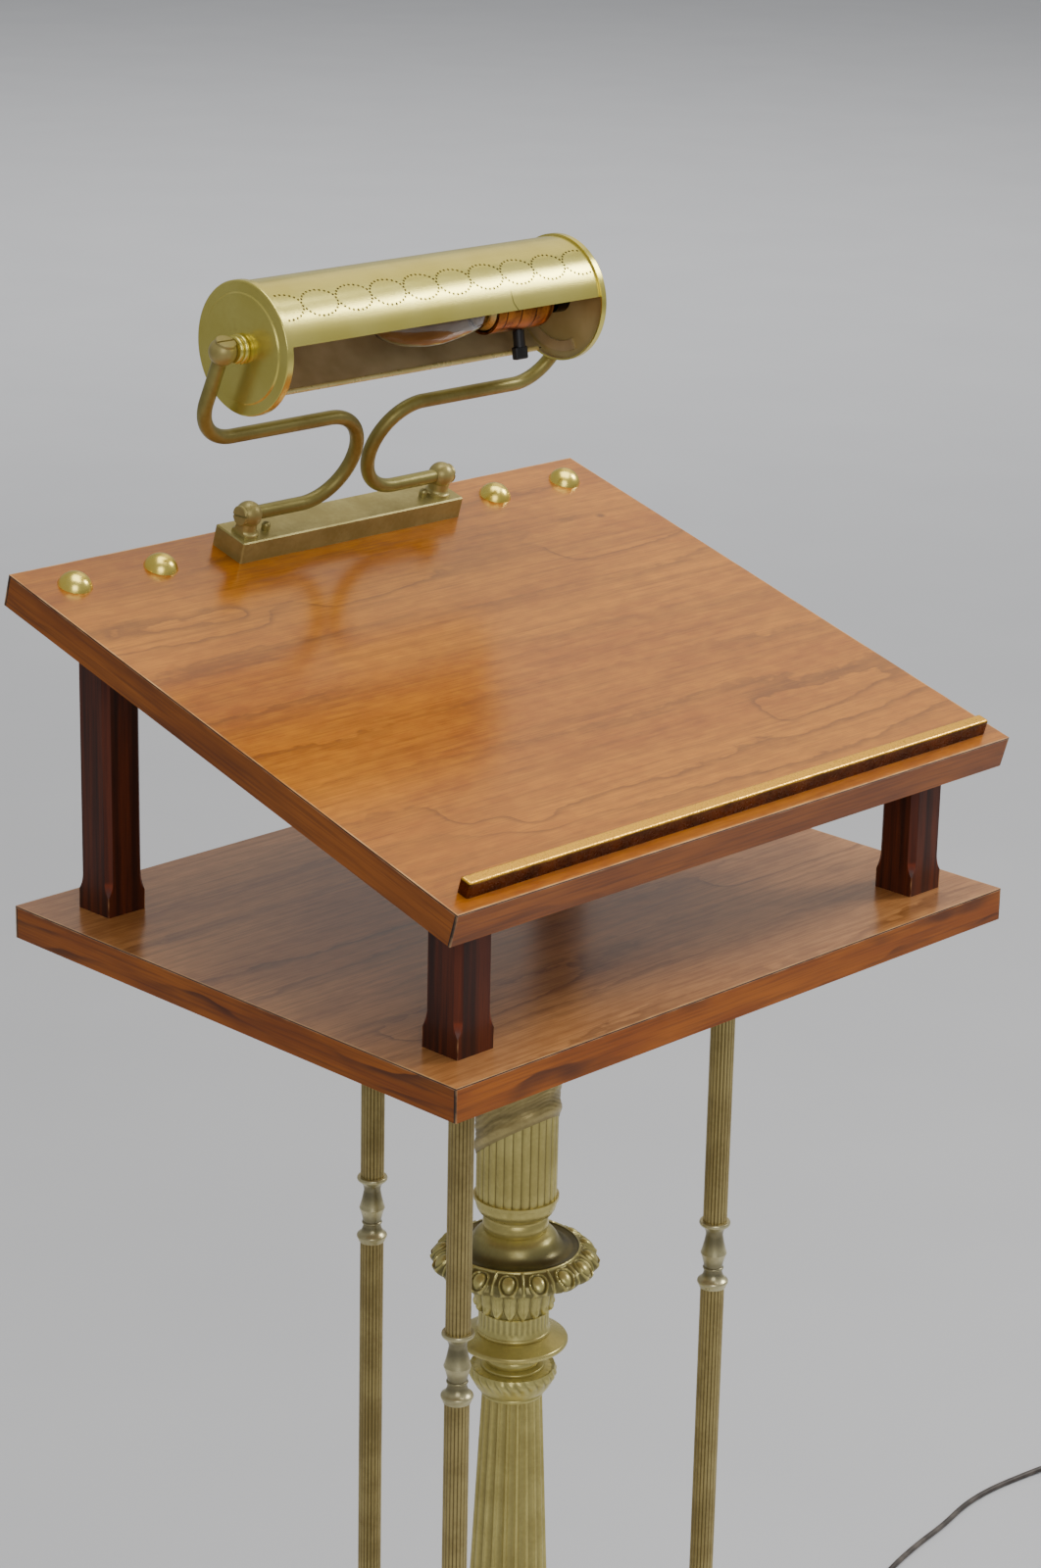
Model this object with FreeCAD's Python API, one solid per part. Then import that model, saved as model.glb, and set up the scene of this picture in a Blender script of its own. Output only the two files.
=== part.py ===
import FreeCAD, Part
import math
import os

# Pedestal lectern: a slanted reading board on four posts over an open shelf, carried by a brass
# pillar and three rods on a weighted round base, with a swing-arm lamp at the back of the board.
# Millimetres, +Z up. The reader stands on the -Y side. The origin is on the floor, on the
# pillar's axis.

V = FreeCAD.Vector
X_AXIS = V(1, 0, 0)
Z_AXIS = V(0, 0, 1)

# Clearances
slip = 0.1
running = 0.06
face_gap = 0.3

# Panels: a wood core, a veneered sheet on top and four edge strips
shelf_height = 940.0
shelf_setback = 6.0
panel_width = 457.0
shelf_depth = 370.0
core_thickness = 18.8
sheet_thickness = 0.9
strip_thickness = 1.5
board_slant = 16.0
board_front_rise = 95.0
board_front_inset = 1.0
board_back_inset = 1.8

# Posts and their dowels
post_width = 27.0
post_inset = 26.5
post_chamfer = 3.6
chamfer_stop_low = 11.6
chamfer_stop_high = 22.0
dowel_diameter = 8.0
dowel_depth = 12.0
dowel_board_depth = 9.0

# Book ledge
ledge_left_inset = 15.2
ledge_right_inset = 12.0
ledge_width = 8.0
ledge_height = 9.5
ledge_inset = 9.5
ledge_round = 1.6
ledge_pin_diameter = 2.6
ledge_pin_depth = 9.0
ledge_pin_spacing = 180.0

# Dome studs on the board
dome_diameter = 20.7
dome_height = 8.1
dome_side_inset = 29.0
dome_spacing = 63.0
dome_back_inset = 24.0
dome_shank_diameter = 3.0
dome_shank_depth = 12.0

# Lamp bar on the board
bar_length = 179.4
bar_width = 26.7
bar_height = 13.4
bar_chamfer = 0.8
bar_back_inset = 25.1
bar_side_shift = 2.0
bar_screw_offset = 14.0
bar_screw_diameter = 3.4
bar_screw_depth = 11.0
bar_screw_head_diameter = 5.2
bar_screw_head_height = 5.2

# Ball joints
ball_diameter = 16.0
ball_end_inset = 11.3
ball_before_middle = 2.6
ball_height = 12.8
ball_neck_diameter = 12.6
ball_foot_diameter = 16.0
ball_foot_height = 1.7
ball_neck_rise = 3.0
ball_stud_diameter = 5.0
ball_stud_depth = 8.0
ball_flat = 5.3
ball_pivot_flat = 6.5
plug_diameter = 12.0
plug_thickness = 1.9
plug_slot_width = 1.2
plug_slot_depth = 1.0
plug_peg_diameter = 5.0
plug_peg_depth = 1.5

# Lamp arms
arm_diameter = 8.6
arm_bore = 6.0
arm_spigot_past_centre = 1.5
arm_middle_gap = 4.5
arm_lean = 24.72
arm_loop_height = 62.0
arm_upright_length = 62.03
arm_corner_radius = 28.0
arm_seat_below_ball = 3.4
arm_screw_reach = 6.0

# Lamp shade
shade_length = 255.7
shade_diameter = 74.2
shade_wall = 0.8
shade_front_lip = 171.5
shade_rear_lip = -66.0
rear_hem_diameter = 3.2
cap_wall = 1.2
cap_rim_depth = 4.5
cap_boss_diameter = 62.0
cap_boss_height = 0.8
cap_corner = 0.9
cap_ring_outer_diameter = 66.0
cap_ring_inner_diameter = 53.4
cap_ring_thickness = 1.8
cap_ring_start = -116.0
cap_ring_end = 130.0
collar_length = 6.55
collar_diameter = 17.5
collar_waist_diameter = 13.0
pivot_diameter = 5.0
pivot_depth = 6.0

# Socket, bulb and switch key, placed along the shade's axis from its middle
socket_diameter = 30.6
socket_wall = 1.6
socket_shell_depth = 25.0
socket_block_length = 15.0
socket_dome_length = 11.0
socket_back_diameter = 19.0
nipple_length = 15.65
nipple_diameter = 10.0
socket_mount_diameter = 18.0
socket_mount_length = 9.5
bulb_nose_length = 47.0
bulb_diameter = 33.6
bulb_neck_length = 38.0
bulb_neck_step = 2.3
bulb_neck_reach = 2.0
bulb_base_play = 0.9
bulb_base_taper = 5.0
key_inset = 4.0
key_angle = 262.0
key_pin_diameter = 4.4
key_pin_depth = 7.0
key_collar_diameter = 7.2
key_stem_length = 10.0
key_width = 10.2
key_height = 7.8
key_thickness = 4.5

# Pillar, stacked downwards from the shelf
top_plate_diameter = 90.0
top_plate_thickness = 5.0
top_screw_circle_diameter = 70.0
top_screw_count = 4
top_screw_diameter = 4.0
top_screw_depth = 13.0
top_screw_head_diameter = 8.0
top_screw_head_height = 3.0
drum_diameter = 49.6
drum_wall = 4.3
drum_height = 165.3
drum_reeds = 28
drum_reed_depth = 0.9
drum_collar_height = 23.0
drum_collar_lip = 1.4
drum_collar_neck = 39.0
drum_collar_bead = 40.6
pan_height = 25.0
pan_dish_diameter = 79.0
pan_skirt_diameter = 104.0
pan_foot_diameter = 47.0
bell_height = 41.0
bell_top_diameter = 50.0
bell_waist_diameter = 43.6
saucer_height = 18.0
saucer_diameter = 67.8
saucer_bead = 46.4
saucer_foot = 33.0
cup_height = 27.0
cup_diameter = 54.2
cup_bead = 34.8
shaft_top_diameter = 37.5
shaft_foot_diameter = 86.0
shaft_flutes = 20
shaft_flute_depth = 1.5
shaft_foot_flute_depth = 3.0
shaft_wall = 5.0
column_foot_flare = 15.0
column_foot_height = 20.0
pipe_wall = 2.8
wire_room = 0.7
pipe_end = 3.0
nut_flats = 18.0
nut_height = 6.0
nut_pocket_room = 2.0

# Rods round the pillar
rod_circle_diameter = 256.8
rod_diameter = 15.0
rod_wall = 2.0
rod_reeds = 20
rod_reed_depth = 0.55
knuckle_drop = 221.5
knuckle_height = 45.0
knuckle_flare = 2.25
knuckle_neck = 10.8
knuckle_bulge = 16.4
spigot_length = 12.0
rod_stud_diameter = 8.0
rod_stud_depth = 12.0
rod_foot_diameter = 32.0
rod_foot_height = 14.0

# Base
felt_thickness = 2.0
felt_inset = 7.0
base_top_margin = 5.6
base_sweep = 20.0
base_ledge = 15.0
base_rim_height = 19.0
base_step_height = 27.0
base_height = 46.0
base_wall = 3.0
weight_inset = 35.0
weight_recess_diameter = 48.0
wire_channel_room = 2.0

# Supply lead
lead_diameter = 5.0
lead_exit_angle = 20.0
lead_exit_height = 9.0
wire_bend_radius = 14.0
bushing_length = 24.0
bushing_root_wall = 2.5
bushing_tip_wall = 1.2
bushing_flange = 1.2
lead_first_run = 30.0
lead_lift = 0.1
coil_turns_in_layer = 2
coil_middle_radius = 27.5
coil_gap = 0.6
tie_width = 6.0
tie_thickness = 0.8
tie_room = 0.55
plug_relief_length = 22.0
plug_relief_root_wall = 2.3
plug_relief_tip_wall = 1.0
plug_body_length = 26.0
plug_body_width = 26.0
blade_length = 17.0
blade_width = 6.3
blade_thickness = 1.5
blade_spacing = 12.7

# Places worked out from the sizes above
panel_thickness = core_thickness + sheet_thickness
shelf_underside = shelf_height - panel_thickness
shelf_front = shelf_setback - shelf_depth / 2
board_length = (shelf_depth - board_front_inset - board_back_inset) / math.cos(math.radians(board_slant))
board_front = V(0, shelf_front + board_front_inset, shelf_height + board_front_rise)
board_place = FreeCAD.Placement(board_front, FreeCAD.Rotation(X_AXIS, board_slant))
post_x = panel_width / 2 - post_inset - post_width / 2
post_y = shelf_depth / 2 - post_inset - post_width / 2
ledge_length = panel_width - ledge_left_inset - ledge_right_inset
ledge_start = ledge_left_inset - panel_width / 2
dome_outer_x = panel_width / 2 - dome_side_inset
dome_inner_x = dome_outer_x - dome_spacing
dome_slope = board_length - dome_back_inset
bar_slope = board_length - bar_back_inset
ball_x = bar_length / 2 - ball_end_inset
ball_slope = bar_slope - ball_before_middle
bar_screw_x = ball_x - bar_screw_offset
ball_rise = bar_height + ball_height


def lean(degrees):
    """Unit vector that leans forwards from straight up."""
    angle = math.radians(degrees)
    return V(0, -math.sin(angle), math.cos(angle))


lamp_axis = board_place.multVec(V(0, ball_slope, ball_rise))
upright = lean(arm_lean)
shade_axis = lamp_axis + upright * (arm_loop_height + arm_upright_length)
cap_face = shade_length / 2 + cap_boss_height
upper_ball_x = cap_face + collar_length + face_gap + ball_pivot_flat
cap_inside = shade_length / 2 - cap_wall
socket_back = cap_inside - nipple_length
socket_shoulder = socket_back - socket_dome_length
socket_floor = socket_shoulder - socket_block_length
socket_mouth = socket_floor - socket_shell_depth
key_place = socket_floor + key_inset
bulb_neck = socket_mouth - bulb_neck_reach
bulb_widest = bulb_neck - bulb_neck_length
bulb_tip = bulb_widest - bulb_nose_length
rod_bore = rod_diameter - 2 * rod_wall
base_top_diameter = rod_circle_diameter + rod_foot_diameter + 2 * base_top_margin
base_step_diameter = base_top_diameter + 2 * base_sweep
base_diameter = base_step_diameter + 2 * base_ledge
pipe_bore = lead_diameter + 2 * wire_room
pipe_diameter = pipe_bore + 2 * pipe_wall
shaft_bottom = base_height + column_foot_height
pipe_foot = lead_exit_height + wire_bend_radius + lead_diameter / 2
lower_nut_top = pipe_foot + pipe_end + nut_height
upper_nut_top = shelf_underside + nut_height
pipe_top = upper_nut_top + pipe_end


def polar(radius, degrees, height=0.0):
    angle = math.radians(degrees)
    return V(radius * math.cos(angle), radius * math.sin(angle), height)


def path(points):
    """Edges through points; an entry with two vectors is an arc through the first to the second."""
    edges = []
    here = points[0]
    for entry in points[1:]:
        if isinstance(entry, tuple):
            edges.append(Part.Arc(here, entry[0], entry[1]).toShape())
            here = entry[1]
        else:
            edges.append(Part.LineSegment(here, entry).toShape())
            here = entry
    return edges


def turned(*steps):
    """Solid of revolution about Z. A step is (radius, height), or an arc given by its middle and end."""
    points = []
    for step in steps:
        if len(step) == 2:
            points.append(V(step[0], 0, step[1]))
        else:
            points.append((V(step[0], 0, step[1]), V(step[2], 0, step[3])))
    edges = path(points + [points[0]])
    return Part.Face(Part.Wire(edges)).revolve(V(), Z_AXIS, 360)


def crown(radius, low, high):
    """Arc step for a ball-shaped top: from a rim up to the axis."""
    rise = high - low
    sphere = (radius * radius + rise * rise) / (2 * rise)
    half_turn = math.acos(1 - rise / sphere) / 2
    return sphere * math.sin(half_turn), high - sphere * (1 - math.cos(half_turn)), 0, high


def round_bar(radius, start, end):
    return Part.makeCylinder(radius, (end - start).Length, start, end - start)


def moved(shape, place):
    copy = shape.copy()
    copy.Placement = place.multiply(copy.Placement)
    return copy


def at(shape, place):
    return moved(shape, FreeCAD.Placement(place, FreeCAD.Rotation()))


def on_board(shape):
    return moved(shape, board_place)


def on_shade_axis(shape, side=1):
    """Lay a shape that was turned about Z along the shade's axis, to the right or the left."""
    return moved(shape, FreeCAD.Placement(shade_axis, FreeCAD.Rotation(Z_AXIS, X_AXIS * side)))


def ring_of(count, shape):
    """Copies of a shape spaced round Z."""
    turn = 360.0 / count
    copies = []
    for index in range(count):
        copies.append(moved(shape, FreeCAD.Placement(V(), FreeCAD.Rotation(Z_AXIS, index * turn))))
    return copies


def swept(edges, radius, start, direction):
    ring = Part.Wire([Part.Circle(start, direction, radius).toShape()])
    return Part.Wire(edges).makePipeShell([ring], True, False)


def save(name, shape):
    shape.exportStep("parts/" + name + ".step")


# Panels
def panel(depth):
    """Core, sheet and strips with the top face at z = 0 and the front edge at y = 0."""
    half = panel_width / 2
    inner = depth - 2 * strip_thickness
    core_size = (panel_width - 2 * strip_thickness, inner, core_thickness)
    core = Part.makeBox(*core_size, V(-half + strip_thickness, strip_thickness, -panel_thickness))
    sheet = Part.makeBox(panel_width, depth, sheet_thickness, V(-half, 0, -sheet_thickness))
    front = Part.makeBox(panel_width, strip_thickness, core_thickness, V(-half, 0, -panel_thickness))
    back = at(front, V(0, depth - strip_thickness, 0))
    left = Part.makeBox(strip_thickness, inner, core_thickness, V(-half, strip_thickness, -panel_thickness))
    right = at(left, V(panel_width - strip_thickness, 0, 0))
    return core, sheet, Part.makeCompound([front, back, left, right])


def board_underside(y):
    """Height of the reading board's underside over a place in plan."""
    slant = math.radians(board_slant)
    return board_front.z + (y - board_front.y) * math.tan(slant) - panel_thickness / math.cos(slant)


def post_places():
    places = {}
    for depth_name, depth_side in (("front", -1), ("rear", 1)):
        for side_name, side in (("left", -1), ("right", 1)):
            places[depth_name + "_" + side_name] = V(side * post_x, shelf_setback + depth_side * post_y, 0)
    return places


def post_dowel(place, top_end, play):
    """One dowel, or with some play its hole, at the foot or the head of a post."""
    low, high = shelf_height - dowel_depth, shelf_height + dowel_depth
    if top_end:
        head = board_underside(place.y)
        low, high = head - dowel_depth, head + dowel_board_depth
    return round_bar(dowel_diameter / 2 + play, V(place.x, place.y, low), V(place.x, place.y, high))


def all_dowels(play):
    places = post_places().values()
    return [post_dowel(place, top_end, play) for place in places for top_end in (False, True)]


def chamfer_tool(place, x_side, y_side, top):
    """What a stopped chamfer takes off one corner; it scoops out at its foot."""
    depth = post_chamfer / math.sqrt(2)
    rise = chamfer_stop_high - chamfer_stop_low
    radius = (depth * depth + rise * rise) / (2 * depth)
    half_turn = math.asin(rise / radius) / 2
    outward = V(x_side, y_side, 0).normalize()
    across = V(-outward.y, outward.x, 0)
    half = post_width / 2
    corner = place + V(x_side * half, y_side * half, shelf_height) - across * half

    def spot(out, height):
        return corner + outward * out + V(0, 0, height)

    run_out = top - shelf_height
    scoop_depth = depth - radius * (1 - math.cos(half_turn))
    scoop = spot(-scoop_depth, chamfer_stop_high - radius * math.sin(half_turn))
    outline = [spot(0, chamfer_stop_low), (scoop, spot(-depth, chamfer_stop_high)), spot(-depth, run_out)]
    outline += [spot(depth, run_out), spot(depth, chamfer_stop_low), spot(0, chamfer_stop_low)]
    return Part.Face(Part.Wire(path(outline))).extrude(across * post_width)


def post(place):
    half = post_width / 2
    front, back = place.y - half, place.y + half
    left = place.x - half
    outline = [V(left, front, shelf_height), V(left, back, shelf_height)]
    outline += [V(left, back, board_underside(back)), V(left, front, board_underside(front)), outline[0]]
    body = Part.Face(Part.Wire(path(outline))).extrude(X_AXIS * post_width)
    top = board_underside(back) + post_width
    tools = [chamfer_tool(place, x_side, y_side, top) for x_side in (-1, 1) for y_side in (-1, 1)]
    return body.cut(tools + all_dowels(slip))


# Book ledge and dome studs, in the board's own frame
def ledge_pins(play):
    radius = ledge_pin_diameter / 2 + play
    middle = ledge_inset + ledge_width / 2
    places = [V(index * ledge_pin_spacing, middle, 0) for index in (-1, 0, 1)]
    return [round_bar(radius, place - Z_AXIS * ledge_pin_depth, place) for place in places]


def book_ledge():
    bar = Part.makeBox(ledge_length, ledge_width, ledge_height, V(ledge_start, ledge_inset, 0))
    upper = [edge for edge in bar.Edges if edge.BoundBox.ZMax > ledge_height / 2]
    bar = bar.makeFillet(ledge_round, upper)
    return on_board(bar.fuse(ledge_pins(0)).removeSplitter())


def dome_places():
    return [V(x, dome_slope, 0) for x in (-dome_outer_x, -dome_inner_x, dome_inner_x, dome_outer_x)]


def dome_shanks(play):
    radius = dome_shank_diameter / 2 + play
    return [round_bar(radius, place - Z_AXIS * dome_shank_depth, place) for place in dome_places()]


def dome_studs():
    radius = dome_diameter / 2
    shank = dome_shank_diameter / 2
    dome = turned((0, -dome_shank_depth), (shank, -dome_shank_depth), (shank, 0), (radius, 0),
                  crown(radius, 0, dome_height))
    return on_board(Part.makeCompound([at(dome, place) for place in dome_places()]))


# Lamp bar, its screws and the lower balls, in the board's own frame
def bar_screw_places():
    return [V(side * bar_screw_x + bar_side_shift, ball_slope, 0) for side in (-1, 1)]


def bar_screw_shanks(play):
    radius = bar_screw_diameter / 2 + play
    low = Z_AXIS * -bar_screw_depth
    high = Z_AXIS * bar_height
    return [round_bar(radius, place + low, place + high) for place in bar_screw_places()]


def lamp_bar_screws():
    shank = bar_screw_diameter / 2
    head = bar_screw_head_diameter / 2
    top = bar_height + bar_screw_head_height
    rim = bar_height + bar_screw_head_height / 3
    screw = turned((0, -bar_screw_depth), (shank, -bar_screw_depth), (shank, bar_height), (head, bar_height),
                   (head, rim), crown(head, rim, top))
    return on_board(Part.makeCompound([at(screw, place) for place in bar_screw_places()]))


def lamp_bar():
    corner = V(bar_side_shift - bar_length / 2, bar_slope - bar_width / 2, 0)
    bar = Part.makeBox(bar_length, bar_width, bar_height, corner)
    upper = [edge for edge in bar.Edges if edge.BoundBox.ZMax > bar_height / 2]
    bar = bar.makeChamfer(bar_chamfer, upper)
    stud = ball_stud_diameter / 2 + slip
    holes = bar_screw_shanks(slip)
    for side in (-1, 1):
        place = V(side * ball_x, ball_slope, bar_height)
        holes.append(round_bar(stud, place - Z_AXIS * ball_stud_depth, place))
    return on_board(bar.cut(holes))


def lower_ball(side):
    """Ball on a flared neck, bored along the lamp's lower axis for the arm's end and its screw."""
    stud, foot, neck = ball_stud_diameter / 2, ball_foot_diameter / 2, ball_neck_diameter / 2
    low = bar_height - ball_stud_depth
    rim = bar_height + ball_foot_height
    waist = rim + ball_neck_rise
    flare = neck + (foot - neck) * 0.3
    body = turned((0, low), (stud, low), (stud, bar_height), (foot, bar_height), (foot, rim),
                  (flare, rim + ball_neck_rise * 0.3, neck, waist), (neck, ball_rise), (0, ball_rise))
    centre = V(0, 0, ball_rise)
    body = body.fuse(Part.makeSphere(ball_diameter / 2, centre))
    out = X_AXIS * side
    bore = round_bar(arm_diameter / 2 + running, centre - out * ball_diameter,
                     centre + out * (arm_spigot_past_centre + face_gap))
    screw_hole = round_bar(arm_bore / 2, centre, centre + out * ball_diameter)
    flat = round_bar(ball_diameter, centre + out * ball_flat, centre + out * ball_diameter)
    body = body.cut([bore, screw_hole, flat])
    return on_board(at(body, V(side * ball_x, ball_slope, 0)))


# Lamp arms
def arm_route(side):
    """Centre line: in along the lower axis, round a half circle, out, round a corner and up."""
    out = X_AXIS * side
    loop = arm_loop_height / 2
    bend = (arm_diameter + arm_middle_gap) / 2 + loop
    corner = upper_ball_x - arm_corner_radius
    high = lamp_axis + upright * arm_loop_height
    centre = high + out * corner + upright * arm_corner_radius
    slant = (out - upright) * (arm_corner_radius / math.sqrt(2))
    return [lamp_axis + out * (ball_x + arm_spigot_past_centre),
            lamp_axis + out * bend,
            (lamp_axis + out * (bend - loop) + upright * loop, high + out * bend),
            high + out * corner,
            (centre + slant, high + out * upper_ball_x + upright * arm_corner_radius),
            high + out * upper_ball_x + upright * (arm_upright_length - arm_seat_below_ball)]


def arm(side):
    route = arm_route(side)
    tube = swept(path(route), arm_diameter / 2, route[0], X_AXIS)
    return tube.cut(swept(path(route), arm_bore / 2, route[0], X_AXIS))


def upper_ball(side):
    """Ball on the arm's end, bored for the shade's pivot and closed by a plug in line with the arm."""
    out = X_AXIS * side
    centre = shade_axis + out * upper_ball_x
    ball = Part.makeSphere(ball_diameter / 2, centre)
    seat = centre - out * ball_pivot_flat
    socket = round_bar(arm_diameter / 2 + slip, centre - upright * ball_diameter,
                       centre - upright * arm_seat_below_ball)
    pivot = round_bar(pivot_diameter / 2 + running, seat, seat + out * (pivot_depth + face_gap))
    inner_flat = round_bar(ball_diameter, seat - out * ball_diameter, seat)
    top_flat = round_bar(ball_diameter, centre + upright * ball_flat, centre + upright * ball_diameter)
    plug_top = centre + upright * ball_flat
    plug_hole = round_bar(plug_peg_diameter / 2 + slip, plug_top - upright * plug_peg_depth, plug_top)
    return ball.cut([inner_flat, top_flat]).cut([socket, pivot, plug_hole])


def slotted_plug(place, direction, peg_radius, peg_length, slot_turn=0.0):
    head = plug_diameter / 2
    edge = plug_thickness - plug_slot_depth / 2
    plug = turned((0, -peg_length), (peg_radius, -peg_length), (peg_radius, 0), (head, 0), (head, edge),
                  (head - plug_slot_depth / 2, plug_thickness), (0, plug_thickness))
    slot = Part.makeBox(plug_diameter, plug_slot_width, plug_slot_depth,
                        V(-head, -plug_slot_width / 2, plug_thickness - plug_slot_depth))
    slot.rotate(V(0, 0, 0), Z_AXIS, slot_turn)
    return moved(plug.cut(slot), FreeCAD.Placement(place, FreeCAD.Rotation(Z_AXIS, direction)))


def slotted_plugs():
    """Two pivot screws that hold the arms in the lower balls, and two plugs in the upper balls."""
    plugs = []
    for side in (-1, 1):
        out = X_AXIS * side
        head = lamp_axis + out * (ball_x + ball_flat + face_gap / 2)
        reach = ball_flat + face_gap / 2 - arm_spigot_past_centre + arm_screw_reach
        plugs.append(slotted_plug(head, out, arm_bore / 2 - slip, reach, 90.0))
        top = shade_axis + out * upper_ball_x + upright * ball_flat
        plugs.append(slotted_plug(top, upright, plug_peg_diameter / 2, plug_peg_depth))
    return Part.makeCompound(plugs)


# Lamp shade
def shade_sector(inner, outer, start, end, low, high):
    """Piece of a tube round the shade's axis, between two angles and two places along the axis."""
    def rim(radius, degrees):
        angle = math.radians(degrees)
        return shade_axis + V(low, radius * math.cos(angle), radius * math.sin(angle))

    middle = (start + end) / 2
    over = (rim(outer, middle), rim(outer, end))
    back = (rim(inner, middle), rim(inner, start))
    outline = [rim(outer, start), over, rim(inner, end), back, rim(outer, start)]
    return Part.Face(Part.Wire(path(outline))).extrude(X_AXIS * (high - low))


def shade_tube():
    """Rolled sheet, open towards the front and below, with a rolled hem along its rear lip."""
    outer = shade_diameter / 2
    half = cap_inside
    sheet = shade_sector(outer - shade_wall, outer, shade_rear_lip, shade_front_lip, -half, half)
    hem_end = half - (cap_rim_depth - cap_wall) - face_gap
    angle = math.radians(shade_rear_lip)
    middle = outer - shade_wall / 2
    lip = shade_axis + V(0, middle * math.cos(angle), middle * math.sin(angle))
    hem = round_bar(rear_hem_diameter / 2, lip - X_AXIS * hem_end, lip + X_AXIS * hem_end)
    return sheet.fuse(hem)


def shade_cap(side):
    """Cupped end with a raised boss, a collar of two beads, the pivot pin and an open ring inside."""
    face = shade_length / 2
    inner = shade_diameter / 2 + slip
    outer = inner + cap_wall
    boss = cap_boss_diameter / 2
    bead, waist, pin = collar_diameter / 2, collar_waist_diameter / 2, pivot_diameter / 2
    middle = cap_face + collar_length / 2
    end = cap_face + collar_length
    pin_end = end + face_gap + pivot_depth
    cap = turned((0, face - cap_wall), (inner, face - cap_wall), (inner, face - cap_rim_depth),
                 (outer, face - cap_rim_depth), (outer, face - cap_corner),
                 (outer - cap_corner * 0.29, face - cap_corner * 0.29, outer - cap_corner, face),
                 (boss + cap_boss_height, face), (boss, cap_face), (waist, cap_face),
                 (bead, cap_face + collar_length / 4, waist, middle),
                 (bead - face_gap * 2, middle + collar_length / 4, waist, end),
                 (pin, end), (pin, pin_end), (0, pin_end))
    sunk = cap_inside + face_gap
    places = sorted((side * sunk, side * (cap_inside - cap_ring_thickness)))
    ring = shade_sector(cap_ring_inner_diameter / 2, cap_ring_outer_diameter / 2, cap_ring_start, cap_ring_end, *places)
    return on_shade_axis(cap, side).fuse(ring)


# Socket, bulb and switch key
def key_direction():
    angle = math.radians(key_angle)
    return V(0, math.cos(angle), math.sin(angle))


def lamp_socket():
    """Socket shell with its floor, and a nipple with a mounting collar against the right cap."""
    outer = socket_diameter / 2
    inner = outer - socket_wall
    back, nipple = socket_back_diameter / 2, nipple_diameter / 2
    end = cap_inside
    rounding = ((outer + back) / 2 + (outer - back) / 4, (socket_shoulder + 2 * socket_back) / 3)
    mount = socket_mount_diameter / 2
    mount_start = end - socket_mount_length
    body = turned((inner, socket_mouth), (outer, socket_mouth), (outer, socket_shoulder),
                  rounding + (back, socket_back), (nipple, socket_back), (nipple, mount_start),
                  (mount, mount_start), (mount, end), (0, end), (0, socket_floor), (inner, socket_floor))
    place = shade_axis + X_AXIS * key_place
    bottom = place + key_direction() * (outer - key_pin_depth - face_gap)
    hole = round_bar(key_pin_diameter / 2 + running, bottom, place + key_direction() * socket_diameter)
    return on_shade_axis(body).cut(hole)


def bulb():
    """Torpedo bulb: a blunt tip, the widest place, the neck and the screw base."""
    base = socket_diameter / 2 - socket_wall - bulb_base_play
    wide, neck = bulb_diameter / 2, base - bulb_neck_step
    tip = wide * 0.56
    shoulder = bulb_tip + wide * 0.5
    base_top = bulb_neck + (base - neck)
    profile = turned((0, bulb_tip), (tip * 0.62, bulb_tip + wide * 0.16, tip, shoulder),
                     (wide * 0.88, (shoulder + bulb_widest) / 2 - wide * 0.16, wide, bulb_widest),
                     ((wide + neck) / 2 + wide * 0.05, (bulb_widest + bulb_neck) / 2, neck, bulb_neck),
                     (base, base_top), (base, socket_floor - bulb_base_taper),
                     (neck / 2, socket_floor), (0, socket_floor))
    return on_shade_axis(profile)


def switch_key():
    """Turn key: a round pin in the socket, a thick stem and a flat paddle."""
    pin, collar = key_pin_diameter / 2, key_collar_diameter / 2
    shell = socket_diameter / 2
    pin_end = shell - key_pin_depth
    stem_start = shell + face_gap * 2
    stem_end = stem_start + key_stem_length
    stem = turned((0, pin_end), (pin, pin_end), (pin, stem_start), (collar, stem_start),
                  (collar, stem_end), (0, stem_end))
    paddle = Part.makeBox(key_width, key_thickness, key_height,
                          V(-key_width / 2, -key_thickness / 2, stem_end - face_gap))
    paddle = paddle.makeFillet(key_thickness / 4, paddle.Edges)
    place = FreeCAD.Placement(shade_axis + X_AXIS * key_place, FreeCAD.Rotation(Z_AXIS, key_direction()))
    return moved(stem.fuse(paddle).removeSplitter(), place)


# Pillar
def reeded(diameter, count, depth):
    """Closed outline of round reeds that meet in grooves."""
    points = [polar(diameter / 2 - depth, 0)]
    pitch = 360.0 / count
    for index in range(count):
        crest = polar(diameter / 2, (index + 0.5) * pitch)
        points.append((crest, polar(diameter / 2 - depth, (index + 1) * pitch)))
    return Part.Wire(path(points))


def fluted(diameter, count, depth, height, land=0.22):
    """Closed outline of hollow flutes with narrow lands between them."""
    pitch = 360.0 / count
    points = [polar(diameter / 2, 0, height)]
    for index in range(count):
        start = (index + land) * pitch
        end = (index + 1) * pitch
        bottom = polar(diameter / 2 - depth, (start + end) / 2, height)
        points.append(polar(diameter / 2, start, height))
        points.append((bottom, polar(diameter / 2, end, height)))
    return Part.Wire(path(points))


def pipe_hole():
    return pipe_diameter / 2 + slip


def top_screws(play):
    """Screws up through the top plate, or with some play their holes."""
    radius = top_screw_diameter / 2 + play
    low = shelf_underside - top_plate_thickness
    place = V(top_screw_circle_diameter / 2, 0, low)
    shank = round_bar(radius, place, V(place.x, 0, shelf_underside + top_screw_depth))
    return ring_of(top_screw_count, shank)


def top_plate():
    low = shelf_underside - top_plate_thickness
    edge = top_plate_diameter / 2
    plate = turned((pipe_hole(), low), (edge, low), (edge, shelf_underside), (pipe_hole(), shelf_underside))
    return plate.cut(top_screws(slip))


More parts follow.
